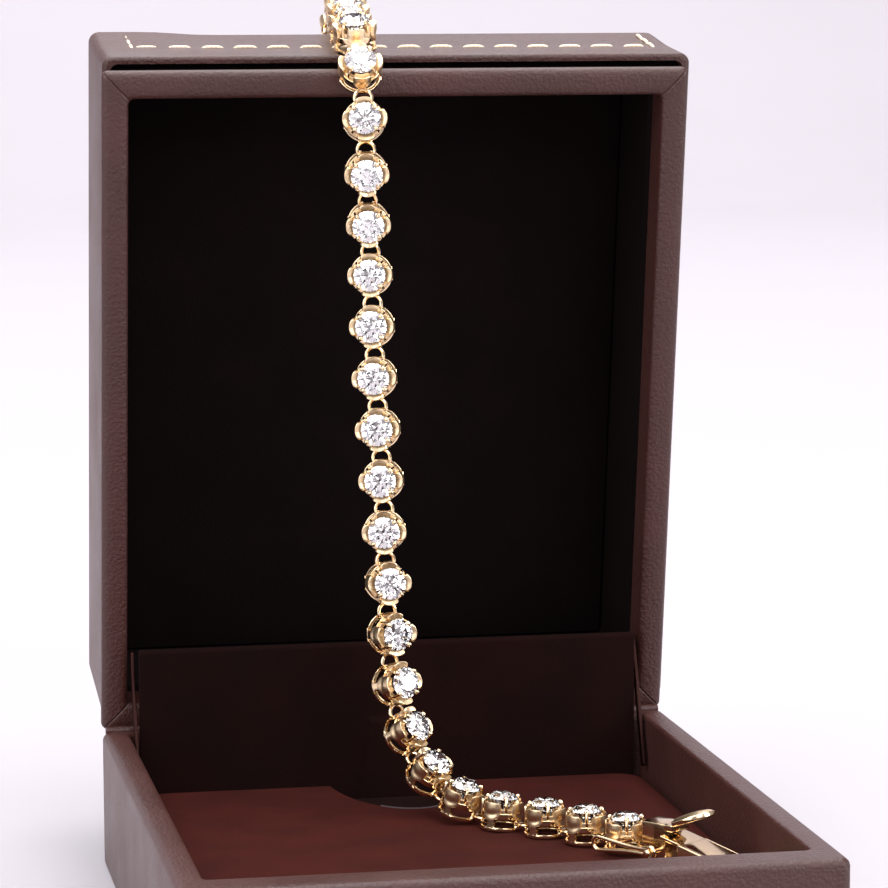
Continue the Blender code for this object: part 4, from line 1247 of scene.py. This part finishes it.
class STAGE_OT_studio(Maker, bpy.types.Operator):
    """Sets out the pale floor and backdrop, the soft lights and the camera"""
    bl_idname = "stage.studio"
    bl_label = "Set the stage"

    def execute(self, context):
        stage = context.scene.stage_set
        made, tree, shader, place = start_material("pale_paper_sweep", Roughness=0.85)
        colour = tuple(stage.floor)
        tree.links.new(blend_colours(tree, spread(tree, noise(tree, place, 60.0), 0, 1), colour, shaded(colour, 0.985)),
                       shader.inputs["Base Color"])
        bend = np.linspace(0, pi / 2, 12)[1:]
        run = np.concatenate([np.linspace(-2.4, 1.1, 12), 1.1 + 0.6 * np.sin(bend), np.full(4, 1.7)])
        rise = np.concatenate([np.zeros(12), 0.6 * (1 - np.cos(bend)), np.linspace(0.8, 2.2, 4)])
        x = np.linspace(-3, 3, 20)
        points = np.stack([np.broadcast_to(x, (len(run), 20)), np.broadcast_to(run[:, None], (len(run), 20)),
                           np.broadcast_to(rise[:, None], (len(run), 20))], -1) / MM
        sweep = make_piece("paper_sweep", [grid_shell(points, wrap_columns=False)], [made], radians(60))
        world = bpy.data.worlds.new("soft_daylight")
        world.use_nodes = True
        world.node_tree.nodes["Background"].inputs["Color"].default_value = (*linear("#fbf6ff"), 1)
        world.node_tree.nodes["Background"].inputs["Strength"].default_value = stage.sky
        context.scene.world = world
        for name, share, size, middle, aim in LIGHTS:
            add_light(name, stage.key * share, size, middle, aim)
        data = bpy.data.cameras.new("view_of_the_photograph")
        data.lens, data.sensor_width, data.clip_start = CAMERA_LENS, 36.0, 0.01
        camera = bpy.data.objects.new("view_of_the_photograph", data)
        context.scene.collection.objects.link(camera)
        yaw, pitch, roll = CAMERA_TURNS
        forward = np.array([sin(yaw) * cos(pitch), cos(yaw) * cos(pitch), -sin(pitch)])
        right = np.array([cos(yaw), -sin(yaw), 0.0])
        up = np.cross(right, forward)
        axes = np.stack([right * cos(roll) + up * sin(roll), up * cos(roll) - right * sin(roll), -forward], 1)
        camera.matrix_world = placing(axes, CAMERA_PLACE)
        context.scene.camera = camera
        context.scene.view_settings.view_transform = "Standard"
        return {"FINISHED"}


class BRACELET_PT_panel(bpy.types.Panel):
    bl_label = "Tennis bracelet"
    bl_idname = "BRACELET_PT_panel"
    bl_space_type = "VIEW_3D"
    bl_region_type = "UI"
    bl_category = "Bracelet"

    def draw(self, context):
        layout = self.layout
        for maker in MAKERS:
            layout.operator(maker.bl_idname)
        for group in (context.scene.bracelet, context.scene.box, context.scene.stage_set):
            for name in group.__annotations__:
                layout.prop(group, name)


MAKERS = (STAGE_OT_studio, BOX_OT_base, BOX_OT_lid, BRACELET_OT_settings, BRACELET_OT_stones, BRACELET_OT_clasp)
CLASSES = (BraceletSettings, BoxSettings, StageSettings, *MAKERS, BRACELET_PT_panel)


def register():
    for made in CLASSES:
        bpy.utils.register_class(made)
    bpy.types.Scene.bracelet = bpy.props.PointerProperty(type=BraceletSettings)
    bpy.types.Scene.box = bpy.props.PointerProperty(type=BoxSettings)
    bpy.types.Scene.stage_set = bpy.props.PointerProperty(type=StageSettings)


def unregister():
    for name in ("bracelet", "box", "stage_set"):
        delattr(bpy.types.Scene, name)
    for made in reversed(CLASSES):
        bpy.utils.unregister_class(made)


def main():
    register()
    bpy.ops.stage.studio()
    bpy.ops.box.base()
    bpy.ops.box.lid()
    bpy.ops.bracelet.settings()
    bpy.ops.bracelet.stones()
    bpy.ops.bracelet.clasp()
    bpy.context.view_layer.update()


if __name__ == "__main__":
    main()
